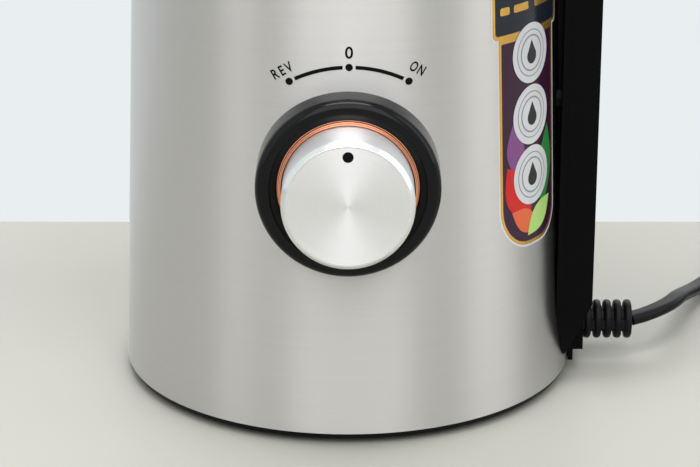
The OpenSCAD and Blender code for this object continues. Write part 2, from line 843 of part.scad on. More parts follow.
module knob_core() {
    r = knob_d / 2 - knob_cap_t;
    hub_r = switch_shaft_d / 2 + 3;
    low = knob_foot + 1.4;
    color([0.15, 0.15, 0.16]) on_knob_axis() difference() {
        rod(low, knob_face - knob_cap_t, r);
        difference() {
            tube(low - eps, knob_face - knob_cap_t - 3, hub_r, r - 2);
            for (a = [0:60:300]) rotate([0, 0, a]) block([0, r], [-0.8, 0.8], [low - 1, knob_face]);
        }
        rod(low - eps, low + 2, nut_af / 2 / cos(30) + 0.5);
        shaft_flat(low - eps, shaft_end, switch_shaft_d / 2);
    }
}

module knob_pointer() {
    color([0.02, 0.02, 0.02]) on_knob_axis() translate([0, pointer_r, 0])
        rod(knob_face - knob_cap_t, knob_face + 0.1, pointer_d / 2);
}

module switch_body() {
    bushing_end = bezel_face + nut_h + 0.4;
    color([0.2, 0.2, 0.22]) on_knob_axis() difference() {
        union() {
            block([-switch_w / 2, switch_w / 2], [-switch_w / 2 + 1, switch_w / 2 - 1],
                [switch_face - switch_depth, switch_face]);
            rod(switch_face, bushing_end, bushing_d / 2);
            for (x = [-7, 0, 7]) block([x - 2.4, x + 2.4], [-0.4, 0.4],
                [switch_face - switch_depth - 7, switch_face - switch_depth]);
        }
        rod(shaft_start - seat_gap, bushing_end + eps, switch_shaft_d / 2 + run_gap);
    }
}

module switch_nut() {
    color([0.7, 0.7, 0.7]) on_knob_axis() difference() {
        hexagon(bezel_face, bezel_face + nut_h, nut_af);
        rod(bezel_face - eps, bezel_face + nut_h + eps, bushing_d / 2);
    }
}

module switch_shaft() {
    color([0.7, 0.7, 0.7]) on_knob_axis() {
        rod(shaft_start, knob_foot + 1.4, switch_shaft_d / 2);
        shaft_flat(knob_foot + 1.4, shaft_end, switch_shaft_d / 2);
    }
}

// ---- Motor ----

module on_motor_axis() {
    translate([motor_at[0], motor_at[1], 0]) children();
}

module bolt_places() {
    for (a = [45:90:315]) rotate([0, 0, a]) translate([bolt_ring_r, 0, 0]) children();
}

module stator_core() {
    flat = stator_d - 12;
    color([0.35, 0.36, 0.38]) on_motor_axis() difference() {
        union() {
            intersection() {
                tube(stator_z, stator_top, slot_out_r, stator_d / 2);
                block([-flat / 2, flat / 2], [-flat / 2, flat / 2], [stator_z, stator_top]);
            }
            for (turn = [0, 180]) rotate([0, 0, turn]) {
                sector(stator_z, stator_top, slot_in_r - pole_shoe, slot_in_r, pole_arc);
                difference() {
                    block([slot_in_r - 1, slot_out_r + 1], [-neck_w / 2, neck_w / 2],
                        [stator_z, stator_top]);
                    rod(stator_z - eps, stator_top + eps, slot_in_r - pole_shoe);
                }
            }
        }
        bolt_places() rod(stator_z - eps, stator_top + eps, motor_bolt_d / 2 + screw_gap);
    }
}

module stator_windings() {
    color([0.72, 0.42, 0.2]) on_motor_axis() for (turn = [0, 180]) rotate([0, 0, turn]) difference() {
        sector(stator_z - winding_rise, stator_top + winding_rise,
            slot_in_r + 0.2, slot_out_r - 0.2, pole_arc - 8);
        block([0, stator_d], [-neck_w / 2 - 0.2, neck_w / 2 + 0.2],
            [stator_z - 0.2, stator_top + 0.2]);
    }
}

module bearing_cut(low, pocket_low, high) {
    rod(low - eps, high + eps, rotor_bearing_d / 2 - 3);
    rod(pocket_low, high + eps, rotor_bearing_d / 2);
}

module motor_upper_bracket() {
    top = upper_bracket_z + bracket_t;
    color([0.62, 0.63, 0.65]) on_motor_axis() difference() {
        union() {
            rod(upper_bracket_z, top, stator_d / 2);
            rod(upper_bearing_z - 1.5, top, rotor_bearing_d / 2 + bearing_hub_wall);
            bolt_places() rod(stator_top, top, pillar_r);
            for (a = [0:90:270]) rotate([0, 0, a]) translate([post_ring_r, 0, 0])
                rod(upper_bracket_z, gearbox_z, pillar_r - 0.5);
        }
        bearing_cut(upper_bearing_z - 1.5, upper_bearing_z, top);
        bolt_places() rod(stator_z, top + eps, motor_bolt_d / 2 + screw_gap);
        for (a = [22.5:45:337.5]) rotate([0, 0, a]) translate([20.5, 0, 0])
            rod(upper_bracket_z - eps, top + eps, 3.5);
    }
}

module brush_box() {
    wall = brush_box_wall;
    low = lower_bracket_z + bracket_t;
    difference() {
        block([commutator_d / 2 + 1.5, commutator_d / 2 + brush_l + 3],
            [-brush_w / 2 - wall, brush_w / 2 + wall], [low - 1, brush_z + brush_h / 2 + wall]);
        block([0, commutator_d / 2 + brush_l + 4], [-brush_w / 2 - 0.1, brush_w / 2 + 0.1],
            [brush_z - brush_h / 2 - 0.1, brush_z + brush_h / 2 + 0.1]);
    }
}

module motor_lower_bracket() {
    top = lower_bracket_z + bracket_t;
    color([0.6, 0.61, 0.63]) on_motor_axis() difference() {
        union() {
            rod(lower_bracket_z, top, stator_d / 2);
            rod(lower_bearing_z - 1.5, top, rotor_bearing_d / 2 + bearing_hub_wall);
            bolt_places() rod(lower_bracket_z, stator_z, pillar_r);
            for (turn = [90, 270]) rotate([0, 0, turn]) brush_box();
        }
        bearing_cut(lower_bearing_z - 1.5, lower_bearing_z, top);
        bolt_places() rod(lower_bracket_z - eps, stator_z + eps, motor_bolt_d / 2 + screw_gap);
        for (turn = [0, 180]) rotate([0, 0, turn])
            sector(lower_bracket_z - eps, top + eps, 17, 25, 60);
    }
}

module motor_bolts() {
    head_r = motor_bolt_d / 2 + 1.5;
    color([0.7, 0.7, 0.72]) on_motor_axis() bolt_places() {
        hexagon(lower_bracket_z - 2.5, lower_bracket_z, 2 * head_r);
        rod(lower_bracket_z, upper_bracket_z + bracket_t, motor_bolt_d / 2);
        hexagon(upper_bracket_z + bracket_t, upper_bracket_z + bracket_t + 3, 2 * head_r);
    }
}

module rotor_core() {
    slots = 12;
    end_h = 4;
    color([0.4, 0.41, 0.43]) on_motor_axis() difference() {
        union() {
            rod(stator_z, stator_top, rotor_d / 2);
            rod(stator_z - end_h, stator_top + end_h, rotor_d / 2 - 5);
        }
        for (k = [0:slots - 1]) rotate([0, 0, 360 / slots * k])
            block([rotor_d / 2 - 4, rotor_d], [-0.9, 0.9], [stator_z - eps, stator_top + eps]);
        rod(stator_z - 2 * end_h, stator_top + 2 * end_h, rotor_shaft_d / 2);
    }
}

module rotor_shaft() {
    pinion_low = first_z - 0.5;
    color([0.72, 0.73, 0.75]) on_motor_axis() {
        rod(fan_z - 2, pinion_low, rotor_shaft_d / 2);
        spur(pinion_teeth, first_module, pinion_low, first_z + first_w + 1, rotor_pinion_turn);
    }
}

module commutator() {
    bars = 24;
    color([0.8, 0.5, 0.25]) on_motor_axis() difference() {
        rod(commutator_z, commutator_z + commutator_h, commutator_d / 2);
        rod(commutator_z - eps, commutator_z + commutator_h + eps, rotor_shaft_d / 2);
        for (k = [0:bars - 1]) rotate([0, 0, 360 / bars * k])
            block([commutator_d / 2 - 0.8, commutator_d], [-0.25, 0.25],
                [commutator_z - eps, commutator_z + commutator_h + eps]);
    }
}

module cooling_fan() {
    blades = 11;
    hub_r = 8;
    disc_t = 1.5;
    blade_lean = 18;
    color([0.85, 0.85, 0.82]) on_motor_axis() difference() {
        union() {
            rod(fan_z, fan_z + fan_h, hub_r);
            rod(fan_z + fan_h - disc_t, fan_z + fan_h, fan_d / 2);
            for (k = [0:blades - 1]) rotate([0, 0, 360 / blades * k]) translate([hub_r - 1.5, 0, 0])
                rotate([0, 0, blade_lean]) block([0, fan_d / 2 - hub_r - 1.5], [-0.8, 0.8],
                    [fan_z + 0.5, fan_z + fan_h - disc_t / 2]);
        }
        rod(fan_z - eps, fan_z + fan_h + eps, rotor_shaft_d / 2);
    }
}

module bearing(low, high, r_in, r_out) {
    groove_r = (r_out - r_in) / 6;
    difference() {
        tube(low, high, r_in, r_out);
        for (z = [low, high]) translate([0, 0, z]) rotate_extrude()
            translate([(r_in + r_out) / 2, 0]) circle(r = groove_r);
    }
}

module rotor_bearings() {
    color([0.78, 0.79, 0.8]) on_motor_axis() for (z = [lower_bearing_z, upper_bearing_z])
        bearing(z, z + rotor_bearing_h, rotor_shaft_d / 2 + run_gap, rotor_bearing_d / 2);
}

module carbon_brushes() {
    color([0.2, 0.2, 0.21]) on_motor_axis() for (turn = [90, 270]) rotate([0, 0, turn])
        block([commutator_d / 2 + seat_gap, commutator_d / 2 + seat_gap + brush_l],
            [-brush_w / 2, brush_w / 2], [brush_z - brush_h / 2, brush_z + brush_h / 2]);
}

// ---- Gearbox ----

module at_point(p) {
    translate([p[0], p[1], 0]) children();
}

module gearbox_housing() {
    color([0.75, 0.75, 0.73]) difference() {
        union() {
            rod(gearbox_z, gearbox_floor_top, gearbox_r);
            tube(gearbox_floor_top - 1, gearbox_top, gearbox_r - shell_t - 0.3, gearbox_r);
            rod(gearbox_z, output_z - 2, journal_d / 2 + boss_wall);
        }
        rod(gearbox_floor_top - pin_seat, output_z, journal_d / 2 + run_gap);
        on_motor_axis() rod(gearbox_z - eps, gearbox_floor_top + eps,
            (pinion_teeth / 2 + 1) * first_module + 2);
        for (p = [first_at, second_at]) at_point(p)
            rod(gearbox_floor_top - pin_seat, gearbox_floor_top + eps, gear_pin_d / 2 + pin_gap);
    }
}

module gearbox_cover() {
    color([0.78, 0.78, 0.76]) difference() {
        union() {
            rod(gearbox_top, cover_top, gearbox_r);
            rod(gearbox_top, bearing_seat_z + output_bearing_h + 2, output_bearing_d / 2 + 4);
            for (a = [0:45:315]) rotate([0, 0, a])
                block([output_bearing_d / 2 + 2, gearbox_r - 8], [-1, 1], [cover_top - 1, cover_top + 6]);
        }
        rod(gearbox_top - eps, bearing_seat_z + eps, drive_shaft_d / 2 + 1);
        rod(bearing_seat_z, bearing_seat_z + output_bearing_h + 3, output_bearing_d / 2);
        for (p = [first_at, second_at]) at_point(p)
            rod(gearbox_top - eps, gearbox_top + pin_seat, gear_pin_d / 2 + pin_gap);
    }
}

module gear_pins() {
    color([0.7, 0.71, 0.73]) for (p = [first_at, second_at]) at_point(p)
        rod(gearbox_floor_top - pin_seat, gearbox_top + pin_seat, gear_pin_d / 2);
}

module first_gear() {
    color([0.93, 0.92, 0.86]) at_point(first_at) difference() {
        union() {
            rod(gearbox_floor_top + seat_gap, gearbox_top - seat_gap, gear_pin_d / 2 + 1.5);
            spur(first_teeth, first_module, first_z, first_z + first_w, first_turn);
            spur(pinion_teeth, second_module, first_z + first_w, output_z - 1.5, first_pinion_turn);
        }
        rod(gearbox_floor_top, gearbox_top, gear_pin_d / 2 + run_gap);
    }
}

module second_gear() {
    top = output_z + output_w;
    color([0.93, 0.92, 0.86]) at_point(second_at) difference() {
        union() {
            rod(gearbox_floor_top + seat_gap, gearbox_top - seat_gap, gear_pin_d / 2 + 2);
            spur(second_teeth, second_module, second_z, second_z + second_w, second_turn);
            spur(pinion_teeth, output_module, second_z + second_w, top, second_pinion_turn);
        }
        rod(gearbox_floor_top, gearbox_top, gear_pin_d / 2 + run_gap);
    }
}

module output_gear() {
    hub_r = 11;
    color([0.8, 0.78, 0.7]) difference() {
        union() {
            rod(output_z - 2 + seat_gap, gearbox_top - seat_gap, hub_r);
            spur(output_teeth, output_module, output_z, output_z + output_w, output_turn);
        }
        rod(output_z - 2, gearbox_top, drive_shaft_d / 2);
    }
}

module drive_shaft() {
    color([0.78, 0.79, 0.8]) {
        rod(gearbox_floor_top - pin_seat + seat_gap, output_z - 2 + seat_gap, journal_d / 2);
        rod(output_z - 2 + seat_gap, hex_z, drive_shaft_d / 2);
        hexagon(hex_z, hex_z + hex_l, drive_af);
    }
}

module output_bearing() {
    color([0.78, 0.79, 0.8]) bearing(bearing_seat_z, bearing_seat_z + output_bearing_h,
        drive_shaft_d / 2 + run_gap, output_bearing_d / 2);
}

// ---- Electrics ----

module control_board() {
    face = board_x + board_t;
    color([0.1, 0.35, 0.2]) {
        block([board_x, face], [-board_w / 2, board_w / 2], [board_z, board_z + board_h]);
        block([face, face + 8], [-12, 8], [board_z + 26, board_z + 40]);
        block([face, face + 7], [-14, -2], [board_z + 43, board_z + 57]);
        block([face, face + 4], [4, 14], [board_z + 45, board_z + 55]);
        block([face, face + 5], [10, 17], [board_z + 14, board_z + 34]);
    }
}

function cross3(a, b) = [a[1] * b[2] - a[2] * b[1], a[2] * b[0] - a[0] * b[2], a[0] * b[1] - a[1] * b[0]];
function unit(v) = v / norm(v);
function heading(path, i) =
    unit(path[min(i + 1, len(path) - 1)] - path[max(i - 1, 0)]);
function ring(centre, along, up, width, height, sides) =
    let (side = unit(cross3(along, up)), top = cross3(side, along))
    [for (k = [0:sides - 1]) let (a = 360 / sides * (k + 0.5))
        centre + side * width / 2 * cos(a) / cos(180 / sides)
        + top * height / 2 * sin(a) / cos(180 / sides)];

// A tube of oval section along a list of points
module sweep(path, width, height, sides, up) {
    count = len(path);
    points = [for (i = [0:count - 1]) each ring(path[i], heading(path, i), up, width, height, sides)];
    sides_faces = [for (i = [0:count - 2], k = [0:sides - 1])
        [i * sides + k, i * sides + (k + 1) % sides,
            (i + 1) * sides + (k + 1) % sides, (i + 1) * sides + k]];
    start = [for (k = [0:sides - 1]) sides - 1 - k];
    end = [for (k = [0:sides - 1]) (count - 1) * sides + k];
    polyhedron(points = points, faces = concat([start], sides_faces, [end]), convexity = 6);
}

// Points on a smooth curve through a list of points
function between(p0, p1, p2, p3, t) =
    ((2 * p1) + (p2 - p0) * t + (2 * p0 - 5 * p1 + 4 * p2 - p3) * t * t
        + (3 * p1 - p0 - 3 * p2 + p3) * t * t * t) / 2;
function smooth(path, steps) =
    let (last = len(path) - 1)
    concat([for (i = [0:last - 1], k = [0:steps - 1])
        between(path[max(i - 1, 0)], path[i], path[i + 1], path[min(i + 2, last)], k / steps)],
        [path[last]]);

module lead_wires() {
    relief_back = casing_inner_x(cord_z + relief_flange_r) - relief_flange_t - 0.2;
    board_foot = board_x + board_t / 2;
    brush_out = commutator_d / 2 + brush_l + seat_gap;
    bend = stator_d / 2 + 5;
    color([0.8, 0.8, 0.82]) {
        sweep(smooth([[relief_back, 0, cord_z], [relief_back - 8, 0, cord_z], [45, -14, 9],
            [10, -44, 8.5], [-30, -46, 8.5], [-54, -28, 10], [board_foot, -15, 22],
            [board_foot, -15, board_z - 6], [board_foot, -15, board_z]], lead_steps),
            supply_lead_d, supply_lead_d, 8, wire_up);
        sweep(smooth([[board_foot, -8, board_z], [board_foot, -8, board_z - 7], [-56, -15, 20],
            [-46, -36, 18], [-30, -54, 18], [-8, -61, 26], [-4, -61, 50], [-4, -61, 72],
            [-4, -61, knob_z - switch_w / 2 + 1]], lead_steps), wire_d, wire_d, 6, wire_up);
        for (side = [-1, 1])
            sweep(smooth([[board_foot, side * 6 + 6, board_z], [board_foot, side * 6 + 6, board_z - 7],
                [motor_at[0] - 37, side * 12, 27], [motor_at[0] - 30, side * 36, 27],
                [motor_at[0] - 5, motor_at[1] + side * bend, 28],
                [motor_at[0], motor_at[1] + side * bend, 40],
                [motor_at[0], motor_at[1] + side * bend, 50],
                [motor_at[0], motor_at[1] + side * (bend - 3), brush_z],
                [motor_at[0], motor_at[1] + side * brush_out, brush_z]], lead_steps),
                wire_d, wire_d, 6, wire_up);
    }
}

module strain_relief() {
    flange_low = casing_inner_x(cord_z + relief_flange_r) - relief_flange_t - 0.2;
    rib_start = relief_end_x - (relief_ribs - 1) * relief_pitch - relief_rib_t;
    color([0.08, 0.08, 0.09]) translate([0, 0, cord_z]) along_x() {
        rod(flange_low, relief_end_x, relief_core_r);
        rod(flange_low, flange_low + relief_flange_t, relief_flange_r);
        for (k = [0:relief_ribs - 1]) translate([0, 0, rib_start + k * relief_pitch])
            cylinder(h = relief_rib_t, r = relief_d / 2);
    }
}

module power_cord() {
    tail_to = tail_from + tail_l * [cos(tail_angle), sin(tail_angle)];
    color([0.08, 0.08, 0.09]) {
        sweep(cord_route, cord_w, cord_h, 8, [0, 0, 1]);
        sweep([for (t = [0, 0.25, 0.5, 0.75, 1])
            let (p = tail_from + (tail_to - tail_from) * t) [p[0], p[1], tail_z]],
            cord_w, cord_h, 8, [0, 0, 1]);
    }
}

module cord_coil() {
    edge = 1.6;
    color([0.08, 0.08, 0.09]) translate([coil_at[0], coil_at[1], coil_z]) rotate_extrude()
        translate([coil_mid_r, 0]) polygon([[-coil_half_w, edge], [-coil_half_w + edge, 0],
            [coil_half_w - edge, 0], [coil_half_w, edge], [coil_half_w, coil_h - edge],
            [coil_half_w - edge, coil_h], [-coil_half_w + edge, coil_h],
            [-coil_half_w, coil_h - edge]]);
}

module cord_tie() {
    gap = 0.2;
    color([0.12, 0.12, 0.12]) translate([coil_at[0], coil_at[1], 0]) rotate([0, 0, tie_angle])
        difference() {
            block([coil_mid_r - coil_half_w - tie_t - gap, coil_mid_r + coil_half_w + tie_t + gap],
                [-tie_w / 2, tie_w / 2], [0, coil_z + coil_h + tie_t]);
            translate([0, 0, coil_z]) rotate_extrude() translate([coil_mid_r - coil_half_w, 0])
                square([2 * coil_half_w, coil_h]);
        }
}

// Children run along +X from the coil's end of the plug
module along_tail(start) {
    translate([tail_from[0], tail_from[1], tail_z]) rotate([0, 0, tail_angle])
        translate([start, 0, 0]) children();
}

module mains_plug() {
    corner = 6;
    color([0.08, 0.08, 0.09]) along_tail(tail_l) {
        along_x() cylinder(h = plug_tail_l, r1 = cord_w / 2 + 0.5, r2 = cord_w / 2 + 2);
        translate([plug_tail_l, 0, -plug_t / 2]) linear_extrude(plug_t) union() {
            translate([0, -plug_w / 2 + corner + 4]) square([plug_l, plug_w - 2 * corner - 8]);
            translate([corner + 4, -plug_w / 2]) square([plug_l - corner - 4, plug_w]);
            for (side = [-1, 1]) translate([corner + 4, side * (plug_w / 2 - corner - 4)])
                circle(r = corner + 4);
        }
    }
}

module plug_pins() {
    color([0.85, 0.8, 0.6]) for (side = [-1, 1])
        along_tail(tail_l + plug_tail_l + plug_l) translate([0, side * pin_spacing / 2, 0])
            along_x() cylinder(h = pin_l, r = pin_d / 2);
}

// ---- Bowl ----

module cap_ears(side_gap) {
    for (side = [-1, 1]) translate([0, side * (side_gap + 0.3 + ear_t / 2), 0]) cross_sheet(ear_t)
        difference() {
            union() {
                translate([cap_hinge_x, cap_hinge_z]) circle(r = ear_r);
                translate([cap_hinge_x - ear_r, spout_z]) square([2 * ear_r, cap_hinge_z - spout_z]);
            }
            translate([cap_hinge_x, cap_hinge_z]) circle(r = cap_pin_r);
        }
}

module juicing_bowl() {
    duct_h = 13;
    duct_z = floor_z - duct_h;
    duct_wall = 2;
    color([0.86, 0.9, 0.92, 0.35]) difference() {
        union() {
            difference() {
                union() {
                    rod(bowl_z, bowl_top, bowl_r);
                    translate([-spout_reach, 0, spout_z]) along_x()
                        cylinder(h = spout_reach - bowl_r + 3, r = spout_d / 2);
                    difference() {
                        cap_ears(hinge_w / 2);
                        translate([-spout_reach - 5, 0, spout_z]) along_x()
                            cylinder(h = 20, r = spout_bore_r);
                    }
                    for (k = [0:lug_count - 1]) rotate([0, 0, 60 + 360 / lug_count * k])
                        sector(lug_z, lug_z + lug_h, bowl_r - 1, bowl_r + 2.2, lug_arc);
                }
                rod(floor_top, bowl_top + eps, bowl_in_r);
                rod(bowl_z - eps, floor_z, bowl_in_r);
            }
            block([-duct_w / 2, duct_w / 2], [deck_boss_r + 1.2, duct_reach], [duct_z, floor_z]);
            rod(floor_z - 4, boss_top, bowl_boss_r);
            translate([0, pulp_y, 0]) rod(floor_z, pulp_tube_top, pulp_tube_r);
            translate([idler_x, 0, 0]) {
                rod(floor_z, boss_top, 5);
                rod(floor_z, gear_top + seat_gap, idler_pin_r);
            }
            tube(strainer_seat_z - ledge_t, strainer_seat_z, bowl_in_r - ledge_w, bowl_in_r + 1);
        }
        rod(floor_z - 2, boss_top + eps, bowl_seal_r);
        rod(floor_z - 6, floor_z, auger_neck_r + 0.5);
        rod(bowl_z - eps, floor_z - 4, deck_boss_r + 0.5);
        block([-duct_w / 2 + duct_wall, duct_w / 2 - duct_wall],
            [bowl_boss_r + 0.6, duct_reach + eps], [duct_z + duct_wall, floor_z - duct_wall]);
        translate([0, pulp_y, 0]) rod(duct_z + duct_wall, pulp_tube_top + eps, pulp_hole_r);
        translate([-spout_reach - eps, 0, spout_z]) along_x()
            cylinder(h = spout_reach - bowl_in_r + 5, r = spout_bore_r);
    }
}

module bowl_seal() {
    color([0.85, 0.86, 0.86]) tube(floor_z - 2, boss_top, auger_neck_r + seat_gap, bowl_seal_r);
}

module juice_cap() {
    face_x = -spout_reach - cap_t - seat_gap;
    arm_top = cap_hinge_z + 3.4;
    color([0.12, 0.12, 0.13]) difference() {
        union() {
            translate([face_x, 0, spout_z]) along_x() cylinder(h = cap_t, r = cap_r);
            translate([face_x, 0, spout_z]) along_x()
                cylinder(h = cap_t + seat_gap + 4, r = spout_bore_r - 1.5);
            cross_sheet(hinge_w - 0.6) polygon([[face_x, spout_z], [face_x + cap_t, spout_z],
                [face_x + cap_t, cap_hinge_z - 2.6], [cap_hinge_x + 2, cap_hinge_z - 2.6],
                [cap_hinge_x + 2.6, cap_hinge_z], [cap_hinge_x + 2, arm_top - 1],
                [face_x + 2, arm_top], [face_x, arm_top - 2]]);
        }
        translate([cap_hinge_x, 0, cap_hinge_z]) rotate([90, 0, 0])
            cylinder(h = 40, r = cap_pin_r + run_gap, center = true);
    }
}

module cap_hinge_pin() {
    color([0.75, 0.75, 0.76]) translate([cap_hinge_x, 0, cap_hinge_z]) rotate([90, 0, 0])
        cylinder(h = hinge_w + 2 * (0.3 + ear_t), r = cap_pin_r, center = true);
}

// ---- Strainer, wiper and gears ----

module strainer_frame() {
    flange_t2 = 3;
    window_w = 18;
    low = strainer_z + strainer_floor_t;
    color([0.15, 0.15, 0.16]) difference() {
        union() {
            rod(strainer_z, low, strainer_d / 2);
            tube(strainer_z, strainer_seat_z + flange_t2, strainer_in_r, strainer_d / 2);
            tube(strainer_seat_z, strainer_seat_z + flange_t2, strainer_in_r, bowl_in_r - 0.3);
        }
        rod(strainer_z - eps, low + eps, (auger_teeth / 2 + 1) * bowl_module + 0.5);
        translate([0, pulp_y, 0]) rod(strainer_z - eps, low + eps, pulp_hole_r);
        for (k = [0:strainer_ribs - 1]) rotate([0, 0, 360 / strainer_ribs * k])
            block([strainer_in_r - 3, strainer_d], [-window_w / 2, window_w / 2],
                [low + 4, strainer_seat_z - 5]);
    }
}

module strainer_mesh() {
    color([0.8, 0.8, 0.8]) tube(strainer_z + strainer_floor_t, strainer_seat_z - 2,
        mesh_r - mesh_t, mesh_r);
}

module blade_shape() {
    block([strainer_d / 2 + seat_gap, bowl_in_r - 0.35], [-blade_t / 2, blade_t / 2],
        [strainer_z, strainer_seat_z - 8]);
}

module wiper_places() {
    for (k = [0:wiper_arms - 1]) rotate([0, 0, 90 + 360 / wiper_arms * k]) children();
}

module wiper_frame() {
    ring_low = floor_top + seat_gap;
    web_z = gear_top - 2.5;
    arm_top = strainer_seat_z - 2;
    color([0.2, 0.2, 0.21]) difference() {
        union() {
            rod(ring_low, gear_top, ring_out_r);
            rod(web_z, gear_top, arm_out_r + 1);
            wiper_places() block([arm_in_r, arm_out_r], [-arm_w / 2, arm_w / 2], [web_z, arm_top]);
            tube(arm_top - 4, arm_top, arm_in_r, arm_out_r);
        }
        translate([0, 0, ring_low - eps]) rotate([0, 0, ring_turn])
            linear_extrude(gear_top - ring_low + 2 * eps)
            polygon(gear_points(ring_teeth, bowl_module, 1.25, 1, -tooth_play));
        for (a = [15:30:345]) rotate([0, 0, a])
            sector(web_z - eps, gear_top + eps, ring_out_r + 3, arm_in_r - 2, 16);
        wiper_places() blade_shape();
    }
}

module wiper_blades() {
    color([0.9, 0.9, 0.88]) wiper_places() blade_shape();
}

module idler_gear() {
    color([0.92, 0.92, 0.9]) translate([idler_x, 0, 0]) difference() {
        spur(idler_teeth, bowl_module, gear_z, gear_top, idler_turn);
        rod(gear_z - eps, gear_top + eps, idler_pin_r + run_gap);
    }
}

module auger() {
    screw_h = auger_top - screw_z;
    flight_h = screw_h - 8;
    turn = -360 * auger_turns;
    color([0.13, 0.13, 0.14]) difference() {
        union() {
            rod(floor_z - 4 + seat_gap, gear_z, auger_neck_r);
            spur(auger_teeth, bowl_module, gear_z, gear_top, auger_gear_turn);
            rod(gear_top, screw_z, auger_teeth / 2 * bowl_module + 1);
            translate([0, 0, screw_z]) linear_extrude(screw_h, scale = auger_tip_d / auger_core_d)
                circle(d = auger_core_d, $fn = 48);
            for (k = [0:auger_flights - 1]) rotate([0, 0, 360 / auger_flights * k])
                translate([0, 0, screw_z + 1])
                    linear_extrude(flight_h, twist = turn, slices = 60, $fn = 8)
                    polygon(concat([polar(flight_root_r, flight_arc), polar(flight_root_r, -flight_arc)],
                        [for (i = [0:4]) polar(flight_r, flight_arc * (i / 4 - 0.5))]));
        }
        hexagon(floor_z - 6, hex_z + hex_l + 1, socket_af);
        rod(auger_top - lid_pin_depth - seat_gap, auger_top + eps, lid_pin_r + run_gap);
    }
}

// ---- Lid and pusher ----

module lid() {
    pin_low = auger_top - lid_pin_depth;
    feed_out = feed_r + feed_wall;
    color([0.16, 0.16, 0.17]) difference() {
        union() {
            rod(lid_z, lid_top, skirt_out_r);
            tube(skirt_z, lid_z + 1, skirt_in_r, skirt_out_r);
            for (k = [0:lug_count - 1]) rotate([0, 0, 60 + 360 / lug_count * k])
                sector(skirt_z, lug_z - seat_gap, bowl_r + 0.4, skirt_in_r + 1, lug_arc);
            rod(pin_low, lid_top, lid_pin_r);
            rod(lid_z - 6, lid_top, lid_pin_r + 4);
            translate([feed_x, 0, 0]) {
                rod(lid_z, feed_top, feed_out);
                translate([0, 0, feed_top - funnel_h])
                    cylinder(h = funnel_h, r1 = feed_out, r2 = feed_out + funnel_flare);
            }
        }
        translate([feed_x, 0, 0]) {
            rod(lid_z - eps, feed_top + eps, feed_r);
            translate([0, 0, feed_top - funnel_h])
                cylinder(h = funnel_h + 0.01, r1 = feed_r, r2 = feed_r + funnel_flare);
        }
    }
}

module lid_seal() {
    color([0.88, 0.88, 0.87]) tube(bowl_top + 0.2, lid_z, bowl_in_r + 0.3, bowl_r - 0.2);
}

module pusher() {
    flange_z = feed_top + seat_gap;
    top = flange_z + 4 + pusher_grip_h;
    color([0.14, 0.14, 0.15]) translate([feed_x, 0, 0]) difference() {
        union() {
            rod(feed_top - pusher_depth, top, pusher_r);
            rod(flange_z, flange_z + 4, pusher_flange_d / 2);
            rod(flange_z, top, pusher_r + 3);
        }
        rod(feed_top - pusher_depth + 3, top + eps, pusher_r - pusher_wall);
    }
}

base_tray();
rubber_feet();
base_screws();
steel_sleeve();
inner_casing();
top_deck();
shaft_seal();
spine_frame();
spine_cover();
spine_screws();
cord_outlet();
handle_grip();
knob_bezel();
knob_trim_ring();
knob_cap();
knob_core();
knob_pointer();
switch_body();
switch_nut();
switch_shaft();
stator_core();
stator_windings();
motor_upper_bracket();
motor_lower_bracket();
motor_bolts();
rotor_core();
rotor_shaft();
commutator();
cooling_fan();
rotor_bearings();
carbon_brushes();
gearbox_housing();
gearbox_cover();
gear_pins();
first_gear();
second_gear();
output_gear();
drive_shaft();
output_bearing();
control_board();
lead_wires();
strain_relief();
power_cord();
cord_coil();
cord_tie();
mains_plug();
plug_pins();
juicing_bowl();
bowl_seal();
juice_cap();
cap_hinge_pin();
strainer_frame();
strainer_mesh();
wiper_frame();
wiper_blades();
idler_gear();
auger();
lid();
lid_seal();
pusher();
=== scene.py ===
"""Looks of a vertical cold press juicer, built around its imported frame."""

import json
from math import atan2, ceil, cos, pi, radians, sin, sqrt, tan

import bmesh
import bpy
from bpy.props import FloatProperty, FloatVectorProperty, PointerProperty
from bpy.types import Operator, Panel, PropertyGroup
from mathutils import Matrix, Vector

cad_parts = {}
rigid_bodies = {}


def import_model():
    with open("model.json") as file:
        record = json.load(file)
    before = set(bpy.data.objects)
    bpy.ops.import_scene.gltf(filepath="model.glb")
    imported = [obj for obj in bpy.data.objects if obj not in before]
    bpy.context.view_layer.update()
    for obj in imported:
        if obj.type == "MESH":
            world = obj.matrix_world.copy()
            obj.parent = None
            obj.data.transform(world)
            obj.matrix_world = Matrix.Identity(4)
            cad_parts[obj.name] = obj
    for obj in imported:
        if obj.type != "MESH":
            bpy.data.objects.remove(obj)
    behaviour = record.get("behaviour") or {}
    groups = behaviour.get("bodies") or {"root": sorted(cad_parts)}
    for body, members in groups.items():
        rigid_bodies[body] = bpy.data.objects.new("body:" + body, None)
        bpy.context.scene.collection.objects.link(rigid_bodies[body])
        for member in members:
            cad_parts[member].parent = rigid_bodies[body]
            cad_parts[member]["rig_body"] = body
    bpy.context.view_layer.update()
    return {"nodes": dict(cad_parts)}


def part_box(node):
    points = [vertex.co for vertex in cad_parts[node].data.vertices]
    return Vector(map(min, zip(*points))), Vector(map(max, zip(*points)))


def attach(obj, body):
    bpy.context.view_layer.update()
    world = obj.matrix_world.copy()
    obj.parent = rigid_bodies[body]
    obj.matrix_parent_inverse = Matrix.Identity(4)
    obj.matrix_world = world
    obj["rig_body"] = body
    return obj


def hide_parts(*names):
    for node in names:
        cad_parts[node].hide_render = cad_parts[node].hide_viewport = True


bl_info = {
    "name": "Cold Press Juicer",
    "version": (1, 0, 0),
    "blender": (4, 5, 0),
    "location": "View3D > Sidebar > Juicer",
    "description": "Builds the visible pieces, finishes and studio of a vertical cold press juicer",
    "category": "Add Mesh",
}

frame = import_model()

MM = 0.001
FULL_TURN = 2 * pi

